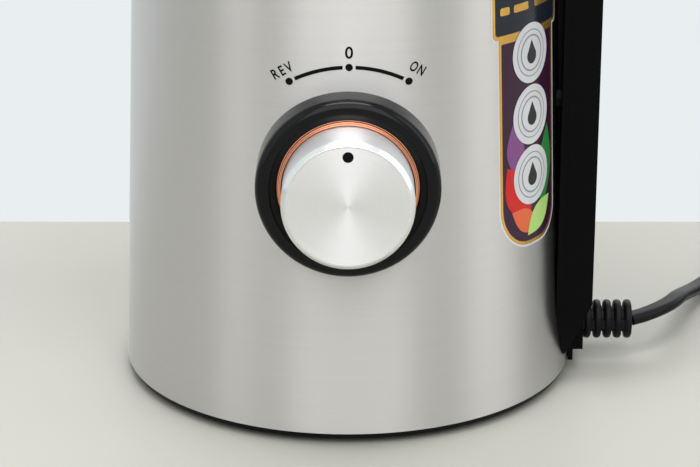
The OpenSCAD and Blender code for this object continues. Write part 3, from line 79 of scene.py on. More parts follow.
# Lowest and highest corners of the nodes that new pieces are fitted to, in metres
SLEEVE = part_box("steel_sleeve")
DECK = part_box("top_deck")
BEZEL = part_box("knob_bezel")
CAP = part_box("knob_cap")
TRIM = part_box("knob_trim_ring")
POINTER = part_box("knob_pointer")
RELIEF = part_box("strain_relief")
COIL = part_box("cord_coil")
KNOB_Z = (CAP[0].z + CAP[1].z) / 2
KNOB_AXIS = Matrix.Translation((0, 0, KNOB_Z)) @ Matrix.Rotation(radians(90), 4, "X")


def size(label, default, low, high, text):
    """A length property in metres."""
    return FloatProperty(name=label, description=text, default=default, min=low, max=high,
                         subtype="DISTANCE", unit="LENGTH", precision=5)


def colour(label, default, text):
    """A linear colour property."""
    return FloatVectorProperty(name=label, description=text, default=default, min=0, max=1, size=3,
                               subtype="COLOR")


def power(label, default, text):
    """A light's power in watts."""
    return FloatProperty(name=label, description=text, default=default, min=0, max=200, unit="POWER")


# ---- Settings ----


class JuicerBody(PropertyGroup):
    """Finish of the motor base."""

    steel: colour("Steel", (0.6, 0.583, 0.57), "Colour of the brushed sleeve")
    steel_roughness: FloatProperty(name="Steel roughness", description="Roughness across the brushing",
                                   default=0.42, min=0, max=1, subtype="FACTOR")
    black: colour("Black plastic", (0.0025, 0.0025, 0.003), "Colour of the satin black mouldings")
    grip: colour("Handle", (0.012, 0.012, 0.013), "Colour of the soft handle")
    edge: size("Edge radius", 0.5 * MM, 0.05 * MM, 2 * MM, "Radius on the edges of the mouldings")


class JuicerKnob(PropertyGroup):
    """Sizes and finish of the rotary switch."""

    face: colour("Face", (0.91, 0.905, 0.915), "Colour of the spun aluminium")
    trim: colour("Trim ring", (0.95, 0.37, 0.225), "Colour of the copper coloured ring")
    bezel: colour("Bezel", (0.002, 0.0025, 0.003), "Colour of the glossy bezel")
    chamfer: size("Chamfer", 1.2 * MM, 0.2 * MM, 1.6 * MM, "Width of the bright chamfer round the face")
    ink: colour("Ink", (0.003, 0.003, 0.003), "Colour of the printed scale and the pointer dot")
    scale_radius: size("Scale radius", 37.8 * MM, 34 * MM, 42 * MM, "Radius of the printed arc")
    scale_turn: FloatProperty(name="Scale turn", description="Angle from the middle mark to the end marks",
                              default=radians(30.5), min=radians(20), max=radians(45), subtype="ANGLE")
    scale_line: size("Scale line", 1.2 * MM, 0.4 * MM, 2 * MM, "Width of the printed arc")


class JuicerLabel(PropertyGroup):
    """Sizes and colours of the sticker beside the spine."""

    width: size("Width", 33 * MM, 24 * MM, 36 * MM, "Width of the sticker along the body")
    foot: size("Foot", 59.5 * MM, 50 * MM, 70 * MM, "Height of the sticker's rounded lower end")
    header: size("Header", 133 * MM, 120 * MM, 145 * MM, "Height at which the wider header starts")
    top: size("Top", 176 * MM, 160 * MM, 190 * MM, "Height of the sticker's upper edge")
    silver: colour("Silver", (0.66, 0.67, 0.7), "Colour of the border and the seals")
    gold: colour("Gold", (0.72, 0.42, 0.1), "Colour of the line inside the border and the header's bars")
    field: colour("Field", (0.035, 0.008, 0.03), "Colour of the lower field")
    header_field: colour("Header field", (0.01, 0.014, 0.024), "Colour of the header")


class JuicerCord(PropertyGroup):
    """Sizes of the flat mains cord."""

    width: size("Width", 6.8 * MM, 5 * MM, 8 * MM, "Width of the flat cord")
    thickness: size("Thickness", 4.2 * MM, 3 * MM, 5 * MM, "Thickness of the flat cord")
    length: size("Length", 1.0, 0.8, 1.2, "Length from the strain relief to the plug")
    sheath: colour("Sheath", (0.005, 0.005, 0.006), "Colour of the cord and the plug")


class JuicerBowlParts(PropertyGroup):
    """Finish of the bowl, strainer, auger, lid and pusher."""

    clear: colour("Clear", (0.93, 0.96, 0.97), "Colour of the clear bowl")
    smoke: colour("Lid", (0.008, 0.008, 0.009), "Colour of the lid and the pusher")
    auger: colour("Auger", (0.03, 0.03, 0.033), "Colour of the auger and the strainer's frame")


class JuicerStage(PropertyGroup):
    """Studio round the juicer."""

    table: colour("Table", (0.485, 0.48, 0.432), "Colour of the table")
    wall: colour("Wall", (0.815, 0.855, 0.868), "Colour seen behind the table")
    table_edge: size("Table edge", 0.142, 0.1, 1.0, "Distance of the table's far edge behind the juicer")
    ambient: FloatProperty(name="Ambient", description="Strength of the light from all round",
                           default=0.32, min=0, max=2)
    front: power("Front light", 22, "Power of the wide light behind the camera")
    top: power("Top light", 17, "Power of the light overhead")
    right: power("Right light", 4.5, "Power of the upright light on the right")
    left: power("Left light", 1.6, "Power of the upright light on the left")
    back: power("Back light", 10, "Power of the wide light behind the juicer")


# ---- Outlines ----


def half_width(corners):
    """Half the width of a node's box, which is the radius of a round node."""
    return (corners[1].x - corners[0].x) / 2


def filleted(corners, steps=4):
    """Points of an outline whose corners (x, y, radius) are rounded with arcs."""
    points = []
    for i, (x, y, radius) in enumerate(corners):
        here = Vector((x, y))
        if not radius:
            points.append(here)
            continue
        back = (Vector(corners[i - 1][:2]) - here).normalized()
        ahead = (Vector(corners[(i + 1) % len(corners)][:2]) - here).normalized()
        half = back.angle(ahead) / 2
        centre = here + (back + ahead).normalized() * radius / sin(half)
        first = here + back * radius / tan(half) - centre
        last = here + ahead * radius / tan(half) - centre
        start = atan2(first.y, first.x)
        turn = (atan2(last.y, last.x) - start + pi) % FULL_TURN - pi
        angles = [start + turn * k / steps for k in range(steps + 1)]
        points += [centre + radius * Vector((cos(a), sin(a))) for a in angles]
    return points


def circle(radius, steps, x=0, y=0):
    """Points of a circle."""
    angles = [FULL_TURN * k / steps for k in range(steps)]
    return [(x + radius * cos(a), y + radius * sin(a)) for a in angles]


def arc(radius, angles):
    """Points of an arc, at angles measured clockwise from straight up."""
    return [(radius * sin(a), radius * cos(a)) for a in angles]


def leaf(x, z, length, width, turn):
    """A leaf pointed at both ends, turned about its middle."""
    steps = 16
    right = [(width / 2 * sin(pi * k / steps), length * (k / steps - 0.5)) for k in range(steps + 1)]
    left = [(-p[0], p[1]) for p in reversed(right[1:-1])]
    c, s = cos(turn), sin(turn)
    return [(x + c * p[0] - s * p[1], z + s * p[0] + c * p[1]) for p in right + left]


# ---- Mesh helpers ----


def lathe(corners, steps, arc_steps=4):
    """Turns corners (r, z, fillet radius) about Z. They may start and end on the axis."""
    profile = filleted(corners, arc_steps)
    bm = bmesh.new()
    ring = [bm.verts.new((p[0], 0, p[1])) for p in profile]
    edges = [bm.edges.new(pair) for pair in zip(ring, ring[1:])]
    if profile[0][0] > 0 or profile[-1][0] > 0:
        edges.append(bm.edges.new((ring[-1], ring[0])))
    bmesh.ops.spin(bm, geom=ring + edges, axis=(0, 0, 1), cent=(0, 0, 0), angle=FULL_TURN, steps=steps,
                   use_merge=True)
    bmesh.ops.remove_doubles(bm, verts=bm.verts, dist=0.001 * MM)
    bmesh.ops.recalc_face_normals(bm, faces=bm.faces)
    return bm


def plate(outline, low, high):
    """A flat plate with an outline in X and Y, between two heights."""
    bm = bmesh.new()
    face = bm.faces.new([bm.verts.new((p[0], p[1], low)) for p in outline])
    made = bmesh.ops.extrude_face_region(bm, geom=[face])["geom"]
    upper = [v for v in made if isinstance(v, bmesh.types.BMVert)]
    bmesh.ops.translate(bm, verts=upper, vec=(0, 0, high - low))
    bmesh.ops.recalc_face_normals(bm, faces=bm.faces)
    return bm


def box(low, high):
    """A block between two corners."""
    bm = bmesh.new()
    low, high = Vector(low), Vector(high)
    place = Matrix.Translation((low + high) / 2) @ Matrix.Diagonal((*(high - low), 1))
    bmesh.ops.create_cube(bm, size=1, matrix=place)
    return bm


def join(target, other):
    """Adds another bmesh to the first one."""
    scratch = bpy.data.meshes.new("scratch")
    other.to_mesh(scratch)
    other.free()
    target.from_mesh(scratch)
    bpy.data.meshes.remove(scratch)


def moved(bm, *matrices):
    """The bmesh after the matrices, the last one first."""
    for matrix in reversed(matrices):
        bmesh.ops.transform(bm, matrix=matrix, verts=bm.verts)
    return bm


def add_object(name, data):
    """A new object in the scene's collection."""
    made = bpy.data.objects.new(name, data)
    bpy.context.scene.collection.objects.link(made)
    return made


def bmesh_of(source, *helpers):
    """The merged mesh of a curve or text object, which is removed with its helpers."""
    bpy.context.view_layer.update()
    bm = bmesh.new()
    bm.from_mesh(source.evaluated_get(bpy.context.evaluated_depsgraph_get()).to_mesh())
    for spare in (source, *helpers):
        bpy.data.objects.remove(spare)
    bmesh.ops.remove_doubles(bm, verts=bm.verts, dist=0.002 * MM)
    return bm


def add_piece(name, bm, finish, body, replaces=(), smooth=40):
    """Makes the bmesh an object that rides on a body. Edges under smooth degrees are shaded smooth."""
    for face in bm.faces:
        face.smooth = True
    for edge in bm.edges:
        edge.smooth = edge.is_manifold and edge.calc_face_angle() < radians(smooth)
    mesh = bpy.data.meshes.new(name)
    bm.to_mesh(mesh)
    bm.free()
    mesh.materials.append(finish_of(finish))
    piece = add_object(name, mesh)
    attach(piece, body)
    if replaces:
        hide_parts(*replaces)
    return piece


def dress_copy(node, finish, width):
    """A merged copy of a CAD node that stands for the node, with edges rounded over a width."""
    source = frame["nodes"][node]
    bm = bmesh.new()
    bm.from_mesh(source.data)
    bmesh.ops.remove_doubles(bm, verts=bm.verts, dist=0.002 * MM)
    bmesh.ops.dissolve_limit(bm, angle_limit=radians(0.5), verts=bm.verts, edges=bm.edges)
    piece = add_piece(f"{node}_shell", bm, finish, source["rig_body"], (node,))
    if width:
        bevel = piece.modifiers.new("soft_edges", "BEVEL")
        bevel.width = width
        bevel.segments = 2
        bevel.limit_method = "ANGLE"
        bevel.angle_limit = radians(35)
        bevel.harden_normals = True
    return piece


def body_radius(z):
    """Outer radius of the steel sleeve at a height."""
    climb = (z - SLEEVE[0].z) / (SLEEVE[1].z - SLEEVE[0].z)
    return SLEEVE[1].x + (DECK[1].x - SLEEVE[1].x) * climb


def slice_across(bm):
    """Cuts a flat bmesh into upright strips so that it can be bent."""
    pitch = 2 * MM
    low = min(v.co.x for v in bm.verts)
    high = max(v.co.x for v in bm.verts)
    for k in range(1, ceil((high - low) / pitch)):
        bmesh.ops.bisect_plane(bm, geom=bm.verts[:] + bm.edges[:] + bm.faces[:],
                               plane_co=(low + k * pitch, 0, 0), plane_no=(1, 0, 0))


def press_on_front(bm):
    """Presses a flat shape in X and height onto the front of the sleeve; its thickness stands outwards."""
    slice_across(bm)
    for v in bm.verts:
        radius = body_radius(v.co.y) + v.co.z
        v.co = (v.co.x, -sqrt(radius * radius - v.co.x * v.co.x), v.co.y)
    bmesh.ops.recalc_face_normals(bm, faces=bm.faces)
    return bm


def wrap_round(bm, middle):
    """Wraps a flat shape in arc length and height round the sleeve, centred at an angle from the front."""
    slice_across(bm)
    for v in bm.verts:
        radius = body_radius(v.co.y) + v.co.z
        turn = middle + v.co.x / body_radius(v.co.y)
        v.co = (radius * sin(turn), -radius * cos(turn), v.co.y)
    bmesh.ops.recalc_face_normals(bm, faces=bm.faces)
    return bm


# ---- Shader nodes ----


def feed(tree, node, inputs):
    """Feeds a node's inputs, by name or number, with sockets or plain values."""
    for label, value in inputs.items():
        if isinstance(value, bpy.types.NodeSocket):
            tree.links.new(value, node.inputs[label])
        else:
            node.inputs[label].default_value = value


def add_node(tree, kind, inputs, **settings):
    """A new shader node with its settings and inputs."""
    node = tree.nodes.new(kind)
    for name, value in settings.items():
        setattr(node, name, value)
    feed(tree, node, inputs)
    return node


def math_node(tree, operation, *values):
    """The output of a Math node."""
    return add_node(tree, "ShaderNodeMath", dict(enumerate(values)), operation=operation).outputs[0]


def vector_node(tree, operation, *values):
    """A Vector Math node."""
    return add_node(tree, "ShaderNodeVectorMath", dict(enumerate(values)), operation=operation)


def noise_node(tree, vector, scale, detail, roughness):
    """The value of a Noise Texture."""
    inputs = {"Vector": vector, "Scale": scale, "Detail": detail, "Roughness": roughness}
    return add_node(tree, "ShaderNodeTexNoise", inputs).outputs[0]


def range_node(tree, value, low, high, to_low, to_high):
    """The output of a clamped Map Range."""
    inputs = {"Value": value, "From Min": low, "From Max": high, "To Min": to_low, "To Max": to_high}
    return add_node(tree, "ShaderNodeMapRange", inputs).outputs[0]


def mix_node(tree, factor, first, second):
    """The colour of a Mix node."""
    factor_input, first_colour, second_colour, colour_output = 0, 6, 7, 2
    inputs = {factor_input: factor, first_colour: first, second_colour: second}
    return add_node(tree, "ShaderNodeMix", inputs, data_type="RGBA").outputs[colour_output]


def new_group(name, inputs, outputs):
    """A group with inputs {name: default}, None for a vector; returns its tree, its inputs and its end."""
    tree = bpy.data.node_groups.new(name, "ShaderNodeTree")
    for label, default in inputs.items():
        kind = "NodeSocketVector" if default is None else "NodeSocketFloat"
        socket = tree.interface.new_socket(label, in_out="INPUT", socket_type=kind)
        if default is not None:
            socket.default_value = default
    for label in outputs:
        tree.interface.new_socket(label, in_out="OUTPUT", socket_type="NodeSocketFloat")
    return tree, tree.nodes.new("NodeGroupInput").outputs, tree.nodes.new("NodeGroupOutput")


def make_brushed_lines():
    """Fine and broad streaks, drawn out by Stretch, which scales each axis."""
    tree, given, result = new_group("brushed_lines", {"Vector": None, "Stretch": None, "Broad": 0.35},
                                    ("Height", "Tone"))
    stretched = vector_node(tree, "MULTIPLY", given["Vector"], given["Stretch"]).outputs[0]
    fine = noise_node(tree, stretched, scale=1, detail=2, roughness=0.6)
    broad = noise_node(tree, stretched, scale=0.12, detail=2, roughness=0.5)
    broad_share = math_node(tree, "MULTIPLY", broad, given["Broad"])
    fine_share = math_node(tree, "MULTIPLY", fine, math_node(tree, "SUBTRACT", 1, given["Broad"]))
    feed(tree, result, {"Height": fine, "Tone": math_node(tree, "ADD", broad_share, fine_share)})
    return tree


def make_moulded_skin():
    """Fine texture of a moulded surface with slow changes of gloss."""
    tree, given, result = new_group("moulded_skin", {"Vector": None, "Scale": 3000, "Patch": 30},
                                    ("Height", "Patches"))
    fine = noise_node(tree, given["Vector"], given["Scale"], detail=2, roughness=0.6)
    patches = noise_node(tree, given["Vector"], given["Patch"], detail=3, roughness=0.5)
    feed(tree, result, {"Height": fine, "Patches": patches})
    return tree


def make_handling():
    """Faint smears and specks from handling: a mask that rises from 0 to Amount where they lie."""
    tree, given, result = new_group("handling", {"Vector": None, "Scale": 18, "Amount": 0.3}, ("Mask",))
    smear = noise_node(tree, given["Vector"], given["Scale"], detail=4, roughness=0.65)
    feed(tree, result, {"Mask": range_node(tree, smear, 0.5, 0.75, 0, given["Amount"])})
    return tree


GROUPS = {"brushed_lines": make_brushed_lines, "moulded_skin": make_moulded_skin, "handling": make_handling}


def place_group(tree, name, **inputs):
    """The outputs of a shared group placed in a material. The group is made the first time."""
    group = bpy.data.node_groups.get(name) or GROUPS[name]()
    return add_node(tree, "ShaderNodeGroup", inputs, node_tree=group).outputs


# ---- Finishes ----


def shaded(base, factor):
    """A colour made lighter or darker."""
    return (*(min(1, c * factor) for c in base), 1)


def start_material(name, base, inputs):
    """A Principled material; returns it with its tree, shader and object coordinates."""
    material = bpy.data.materials.new(name)
    material.use_nodes = True
    tree = material.node_tree
    shader = tree.nodes["Principled BSDF"]
    feed(tree, shader, {"Base Color": (*base, 1), **inputs})
    return material, tree, shader, tree.nodes.new("ShaderNodeTexCoord").outputs["Object"]


def start_turned_metal(name, base, axis, roughness, anisotropy):
    """A metal whose reflections are drawn out across lines that run round an axis."""
    material, tree, shader, coords = start_material(name, base, {
        "Metallic": 1, "Roughness": roughness, "Anisotropic": anisotropy, "Anisotropic Rotation": 0.25})
    tangent = add_node(tree, "ShaderNodeTangent", {}, direction_type="RADIAL", axis=axis)
    feed(tree, shader, {"Tangent": tangent.outputs[0]})
    return material, tree, shader, coords


def add_bump(tree, shader, height, distance, strength):
    """Feeds a height to the shader's normal."""
    bump = add_node(tree, "ShaderNodeBump", {"Height": height, "Distance": distance, "Strength": strength})
    feed(tree, shader, {"Normal": bump.outputs[0]})


def brushed_metal(name, base, axis, roughness, along=28, across=4200, anisotropy=0.9, contrast=0.08):
    """Brushed metal. Along scales its lines round the axis, and across scales them from line to line."""
    material, tree, shader, coords = start_turned_metal(name, base, axis, roughness, anisotropy)
    stretch = tuple(across if letter == axis else along for letter in "XYZ")
    lines = place_group(tree, "brushed_lines", Vector=coords, Stretch=stretch)
    smears = place_group(tree, "handling", Vector=coords, Scale=14, Amount=0.25)
    streaked = range_node(tree, lines["Tone"], 0.3, 0.7, roughness - 0.05, roughness + 0.05)
    smeared = math_node(tree, "MULTIPLY", smears["Mask"], 0.12)
    tone = mix_node(tree, lines["Tone"], shaded(base, 1 - contrast), shaded(base, 1 + contrast))
    feed(tree, shader, {"Base Color": tone, "Roughness": math_node(tree, "ADD", streaked, smeared)})
    add_bump(tree, shader, lines["Height"], 0.008 * MM, 0.35)
    return material


def spun_face(name, base):
    """Aluminium turned on a lathe: fine rings round the knob's axis."""
    material, tree, shader, coords = start_turned_metal(name, base, "Y", 0.4, 0.75)
    centred = add_node(tree, "ShaderNodeMapping", {0: coords, "Location": (0, 0, -KNOB_Z)}).outputs[0]
    flat = vector_node(tree, "MULTIPLY", centred, (1, 0, 1)).outputs[0]
    radius = vector_node(tree, "LENGTH", flat).outputs["Value"]
    rings = add_node(tree, "ShaderNodeCombineXYZ", {0: radius}).outputs[0]
    lines = place_group(tree, "brushed_lines", Vector=rings, Stretch=(5200, 1, 1))
    feed(tree, shader, {"Base Color": mix_node(tree, lines["Tone"], shaded(base, 0.95), shaded(base, 1.05))})
    add_bump(tree, shader, lines["Height"], 0.004 * MM, 0.3)
    return material


def moulded(name, base, roughness, grain=0.004, scale=3000, shine=0.5, coat=0.0, metallic=0.0):
    """A moulded plastic or rubber. Grain is the depth of its texture in millimetres."""
    material, tree, shader, coords = start_material(name, base, {
        "Metallic": metallic, "Roughness": roughness, "Coat Weight": coat, "Coat Roughness": 0.04,
        "Specular IOR Level": shine})
    skin = place_group(tree, "moulded_skin", Vector=coords, Scale=scale)
    smears = place_group(tree, "handling", Vector=coords, Scale=22, Amount=0.35)
    patchy = range_node(tree, skin["Patches"], 0.3, 0.7, roughness * 0.88, roughness * 1.12)
    smeared = math_node(tree, "MULTIPLY", smears["Mask"], 0.1)
    tone = mix_node(tree, skin["Patches"], shaded(base, 0.82), shaded(base, 1.2))
    feed(tree, shader, {"Base Color": tone, "Roughness": math_node(tree, "ADD", patchy, smeared)})
    add_bump(tree, shader, skin["Height"], grain * MM, 0.6)
    return material


def bare_metal(name, base, roughness, grain, scale):
    """A cast, ground, plated or sintered metal."""
    return moulded(name, base, roughness, grain, scale, metallic=1)


def printed_film(name, tint, metallic=0.0):
    """Glossy printed film of the sticker."""
    return moulded(name, tint, 0.22, 0.001, 1200, 0.25, 0.1, metallic)


def clear_plastic(name, base):
    """A clear moulding with faint smears."""
    roughness = 0.03
    material, tree, shader, coords = start_material(name, base, {
        "Roughness": roughness, "Transmission Weight": 1, "IOR": 1.5})
    smears = place_group(tree, "handling", Vector=coords, Scale=25, Amount=0.5)
    feed(tree, shader, {"Roughness": range_node(tree, smears["Mask"], 0, 0.5, roughness, roughness + 0.12)})
    return material


def perforated_steel(name):
    """The strainer's screen: rows of fine holes round the drive axis, two to each wave."""
    waves_round, wave_rise = 180, 1.2 * MM
    material, tree, shader, coords = start_material(name, (0.6, 0.6, 0.59), {"Metallic": 1, "Roughness": 0.3})
    split = add_node(tree, "ShaderNodeSeparateXYZ", {0: coords}).outputs
    turn = math_node(tree, "ARCTAN2", split["Y"], split["X"])
    across = math_node(tree, "SINE", math_node(tree, "MULTIPLY", turn, waves_round))
    up = math_node(tree, "SINE", math_node(tree, "MULTIPLY", split["Z"], FULL_TURN / wave_rise))
    depth = math_node(tree, "ABSOLUTE", math_node(tree, "MULTIPLY", across, up))
    feed(tree, shader, {"Alpha": range_node(tree, depth, 0.42, 0.5, 1, 0)})
    return material


def finish_table(scene):
    """The maker of every finish, and the values that it takes after the name."""
    body, knob, label = scene.juicer_body, scene.juicer_knob, scene.juicer_label
    cord, bowl = scene.juicer_cord, scene.juicer_bowl
    films = {"silver": label.silver, "plum": label.field, "navy": label.header_field,
             "grey": (0.28, 0.29, 0.32), "black": (0.01, 0.01, 0.012),
             **{f"leaf_{tint}": base for tint, base, *_ in LEAVES}}
    return {
        "sleeve_steel": (brushed_metal, body.steel, "Z", body.steel_roughness),
        "knob_face": (spun_face, knob.face),
        "knob_side": (brushed_metal, knob.face, "Y", 0.4, 28, 4200, 0.85, 0.03),
        "knob_edge": (bare_metal, knob.face, 0.22, 0.001, 3000),
        "trim_copper": (bare_metal, knob.trim, 0.22, 0.001, 3000),
        "bezel_gloss": (moulded, knob.bezel, 0.15, 0.001, 900, 0.2),
        "printed_ink": (moulded, knob.ink, 0.75, 0.001, 3000, 0.1),
        "satin_black": (moulded, body.black, 0.32, 0.004, 2600, 0.05),
        "deck_black": (moulded, body.black, 0.2, 0.002, 2000, 0.3),
        "soft_grip": (moulded, body.grip, 0.62, 0.012, 2200, 0.25),
        "tray_black": (moulded, body.black, 0.28, 0.004, 2600, 0.15),
        "foot_rubber": (moulded, (0.03, 0.03, 0.032), 0.75, 0.01, 1800),
        "cord_sheath": (moulded, cord.sheath, 0.4, 0.006, 1500, 0.15),
        "plug_black": (moulded, cord.sheath, 0.5, 0.012, 1800),
        "tie_black": (moulded, (0.02, 0.02, 0.021), 0.7, 0.03, 1100),
        "pin_nickel": (bare_metal, (0.75, 0.7, 0.6), 0.2, 0.001, 3000),
        "zinc": (bare_metal, (0.6, 0.6, 0.61), 0.3, 0.002, 2500),
        "ground_steel": (bare_metal, (0.62, 0.62, 0.63), 0.22, 0.002, 2500),
        "laminations": (brushed_metal, (0.3, 0.31, 0.33), "Z", 0.45, 5, 2000),
        "copper_wire": (brushed_metal, (0.72, 0.32, 0.12), "Z", 0.3, 8, 1500),
        "cast_aluminium": (bare_metal, (0.55, 0.56, 0.57), 0.5, 0.03, 900),
        "carbon": (moulded, (0.03, 0.03, 0.03), 0.6),
        "grey_moulding": (moulded, (0.5, 0.5, 0.47), 0.5, 0.01, 1200),
        "acetal": (moulded, (0.8, 0.77, 0.68), 0.42),
        "sintered": (bare_metal, (0.35, 0.33, 0.3), 0.5, 0.01, 2500),
        "board_green": (moulded, (0.02, 0.12, 0.05), 0.35, 0.004, 1500, 0.5, 0.4),
        "wire_sheath": (moulded, (0.6, 0.6, 0.62), 0.4),
        "dark_moulding": (moulded, (0.03, 0.03, 0.033), 0.5, 0.01, 1800),
        "clear_bowl": (clear_plastic, bowl.clear),
        "silicone": (moulded, (0.7, 0.71, 0.7), 0.45, 0.004, 1500),
        "red_silicone": (moulded, (0.3, 0.015, 0.012), 0.45, 0.004, 1500),
        "strainer_screen": (perforated_steel,),
        "lid_gloss": (moulded, bowl.smoke, 0.14, 0.001, 900, 0.4),
        "auger_black": (moulded, bowl.auger, 0.34, 0.004, 1500),
        "sticker_gold": (printed_film, label.gold, 0.8),
        **{f"sticker_{tint}": (printed_film, base) for tint, base in films.items()},
    }


MATERIALS = {}


def finish_of(name):
    """The material of that name, made when it is first used."""
    if name not in MATERIALS:
        make, *values = finish_table(bpy.context.scene)[name]
        MATERIALS[name] = make(name, *values)
    return MATERIALS[name]


# ---- Operators ----


class JuicerOperator:
    """What every operator of the juicer shares."""

    bl_options = {"REGISTER", "UNDO"}


class JUICER_OT_camera(JuicerOperator, Operator):
    """Adds the camera and sets the plain view transform"""

    bl_idname = "juicer.camera"
    bl_label = "Camera"

    def execute(self, context):
        data = bpy.data.cameras.new("camera")
        data.sensor_width = 36
        data.lens = 125.62
        camera = add_object("camera", data)
        camera.location = (0.0006, -0.8239, 0.3459)
        camera.rotation_euler = (radians(70.02), 0, 0)
        context.scene.camera = camera
        context.scene.view_settings.view_transform = "Standard"
        return {"FINISHED"}


# Route of the cord from the strain relief to its coil, in millimetres
CORD_ROUTE = [(102.5, 0, 13.5), (106.9, 1.6, 14.1), (110.9, 4, 14.6), (114.4, 7, 14.9),
              (117.4, 10.6, 14.9), (119.7, 14.6, 14.6), (121.4, 19, 13.9), (123, 24, 12.7),
              (124.7, 29, 11.3), (126.5, 34, 9.9), (128.5, 39.2, 8.5), (130.7, 44.6, 7.1),
              (133.1, 50.2, 5.8), (135.8, 56, 4.7), (138.9, 62.2, 3.8), (142.4, 68.8, 3.2),
              (146.3, 75.8, 2.9), (150.5, 83.6, 2.9)]
CORD_START = tuple(c * MM for c in CORD_ROUTE[0])

# The coil: its first angle, how far it winds inwards, steps up and winds outwards, the angle from point to
# point, and the width of its winding
COIL_START = radians(165)
COIL_INWARD = 2 * FULL_TURN
COIL_CLIMB = radians(70)
COIL_OUTWARD = radians(500)
COIL_STEP = radians(12)
COIL_WINDING = 14 * MM

# The straight end of the cord, from the coil to the plug, and the height of the plug
TAIL_LENGTH = 32 * MM
TAIL_STEPS = 4
PLUG_Z = 7 * MM


def coil_points(thickness, width):
    """The coil: a flat spiral inwards, a step up and a spiral outwards over it."""
    middle = (COIL[0] + COIL[1]) / 2
    outer = half_width(COIL) - width / 2
    inner = outer - COIL_WINDING
    low = COIL[0].z + thickness / 2
    high = COIL[1].z - thickness / 2
    whole = COIL_INWARD + COIL_CLIMB + COIL_OUTWARD
    count = round(whole / COIL_STEP)
    points = []
    for k in range(1, count + 1):
        turned = whole * k / count
        radius = outer + (inner - outer) * min(1, turned / COIL_INWARD)
        radius += (outer - inner) * max(0, turned - COIL_INWARD - COIL_CLIMB) / COIL_OUTWARD
        rise = min(1, max(0, (turned - COIL_INWARD) / COIL_CLIMB))
        angle = COIL_START - turned
        height = low + (high - low) * rise * rise * (3 - 2 * rise)
        points.append(Vector((middle.x + radius * cos(angle), middle.y + radius * sin(angle), height)))
    return points


def tail_points(before, last):
    """The cord's end, straight on from its last two points and up to the plug."""
    heading = last - before
    heading.z = 0
    heading.normalize()
    points = [last]
    for k in range(1, TAIL_STEPS + 1):
        point = points[-1] + heading * TAIL_LENGTH / TAIL_STEPS
        point.z = points[-1].z + (PLUG_Z - points[-1].z) * k / TAIL_STEPS
        points.append(point)
    return points[1:]


def add_line(name, points, dimensions):
    """A curve object with one spline, straight from point to point."""
    curve = bpy.data.curves.new(name, "CURVE")
    curve.dimensions = dimensions
    spline = curve.splines.new("POLY")
    spline.points.add(len(points) - 1)
    for knot, point in zip(spline.points, points):
        knot.co = (*point, 1)
    return add_object(name, curve)


class JUICER_OT_cord(JuicerOperator, Operator):
    """Adds the flat mains cord with its plug and tie"""

    bl_idname = "juicer.cord"
    bl_label = "Cord and Plug"

    def execute(self, context):
        sizes = context.scene.juicer_cord
        route = [Vector(p) * MM for p in CORD_ROUTE] + coil_points(sizes.thickness, sizes.width)
        route += tail_points(*route[-2:])
        half_w, half_t = sizes.width / 2, sizes.thickness / 2
        edge_r = half_t * 0.99
        corners = [(half_w, half_t, edge_r), (-half_w, half_t, edge_r), (-half_w, -half_t, edge_r),
                   (half_w, -half_t, edge_r)]
        section = add_line("cord_section", [p.to_3d() for p in filleted(corners)], "2D")
        section.data.splines[0].use_cyclic_u = True
        swept = add_line("cord_line", route, "3D")
        swept.data.twist_mode = "Z_UP"
        swept.data.bevel_mode = "OBJECT"
        swept.data.bevel_object = section
        swept.data.use_fill_caps = True
        bm = bmesh_of(swept, section)
        bmesh.ops.recalc_face_normals(bm, faces=bm.faces)
        cord = add_piece("mains_cord", bm, "cord_sheath", "base",
                         ("power_cord", "cord_coil"), 50)
        plug = dress_copy("mains_plug", "plug_black", 1.6 * MM)
        tie = dress_copy("cord_tie", "tie_black", 0.2 * MM)
        return {"FINISHED"}


class JUICER_OT_relief(JuicerOperator, Operator):
    """Adds the ribbed strain relief"""

    bl_idname = "juicer.relief"
    bl_label = "Strain Relief"

    def execute(self, context):
        start, end = RELIEF[0].x, RELIEF[1].x
        core_r, rib_r, rib_t, rib_edge = 4.6 * MM, 7 * MM, 2.7 * MM, 1.1 * MM
        pitch, count, steps = 3.67 * MM, 5, 48
        bm = lathe([(0, start, 0), (core_r, start, 0.3 * MM), (core_r, end, 1 * MM), (0, end, 0)], steps)
        for k in range(count):
            low = end - rib_t - k * pitch
            high = low + rib_t
            rib = [(0, low, 0), (rib_r, low, rib_edge), (rib_r, high, rib_edge), (0, high, 0)]
            join(bm, lathe(rib, steps))
        web_half = 1.6 * MM
        for side in (-1, 1):
            web_x = side * (core_r * 0.7 + web_half)
            join(bm, box((web_x - web_half, -web_half, end - count * pitch),
                         (web_x + web_half, web_half, end - 1 * MM)))
        at_exit = Matrix.Translation((0, 0, CORD_START[2])) @ Matrix.Rotation(radians(90), 4, "Y")
        flat_on = Matrix.Rotation(radians(90), 4, "Z")
        add_piece("relief_boot", moved(bm, at_exit, flat_on), "cord_sheath", "base",
                  ("strain_relief",), 50)
        return {"FINISHED"}


class JUICER_OT_sleeve(JuicerOperator, Operator):
    """Adds the brushed steel sleeve"""

    bl_idname = "juicer.sleeve"
    bl_label = "Steel Sleeve"

    def execute(self, context):
        dress_copy("steel_sleeve", "sleeve_steel", 0.15 * MM)
        return {"FINISHED"}


def add_turned(name, corners, finish, body, replaces=(), smooth=40, steps=192, arc_steps=4, rise=0):
    """A piece turned about the knob's axis, or about a line above it."""
    bm = moved(lathe(corners, steps, arc_steps), KNOB_AXIS, Matrix.Translation((0, rise, 0)))
    add_piece(name, bm, finish, body, replaces, smooth)


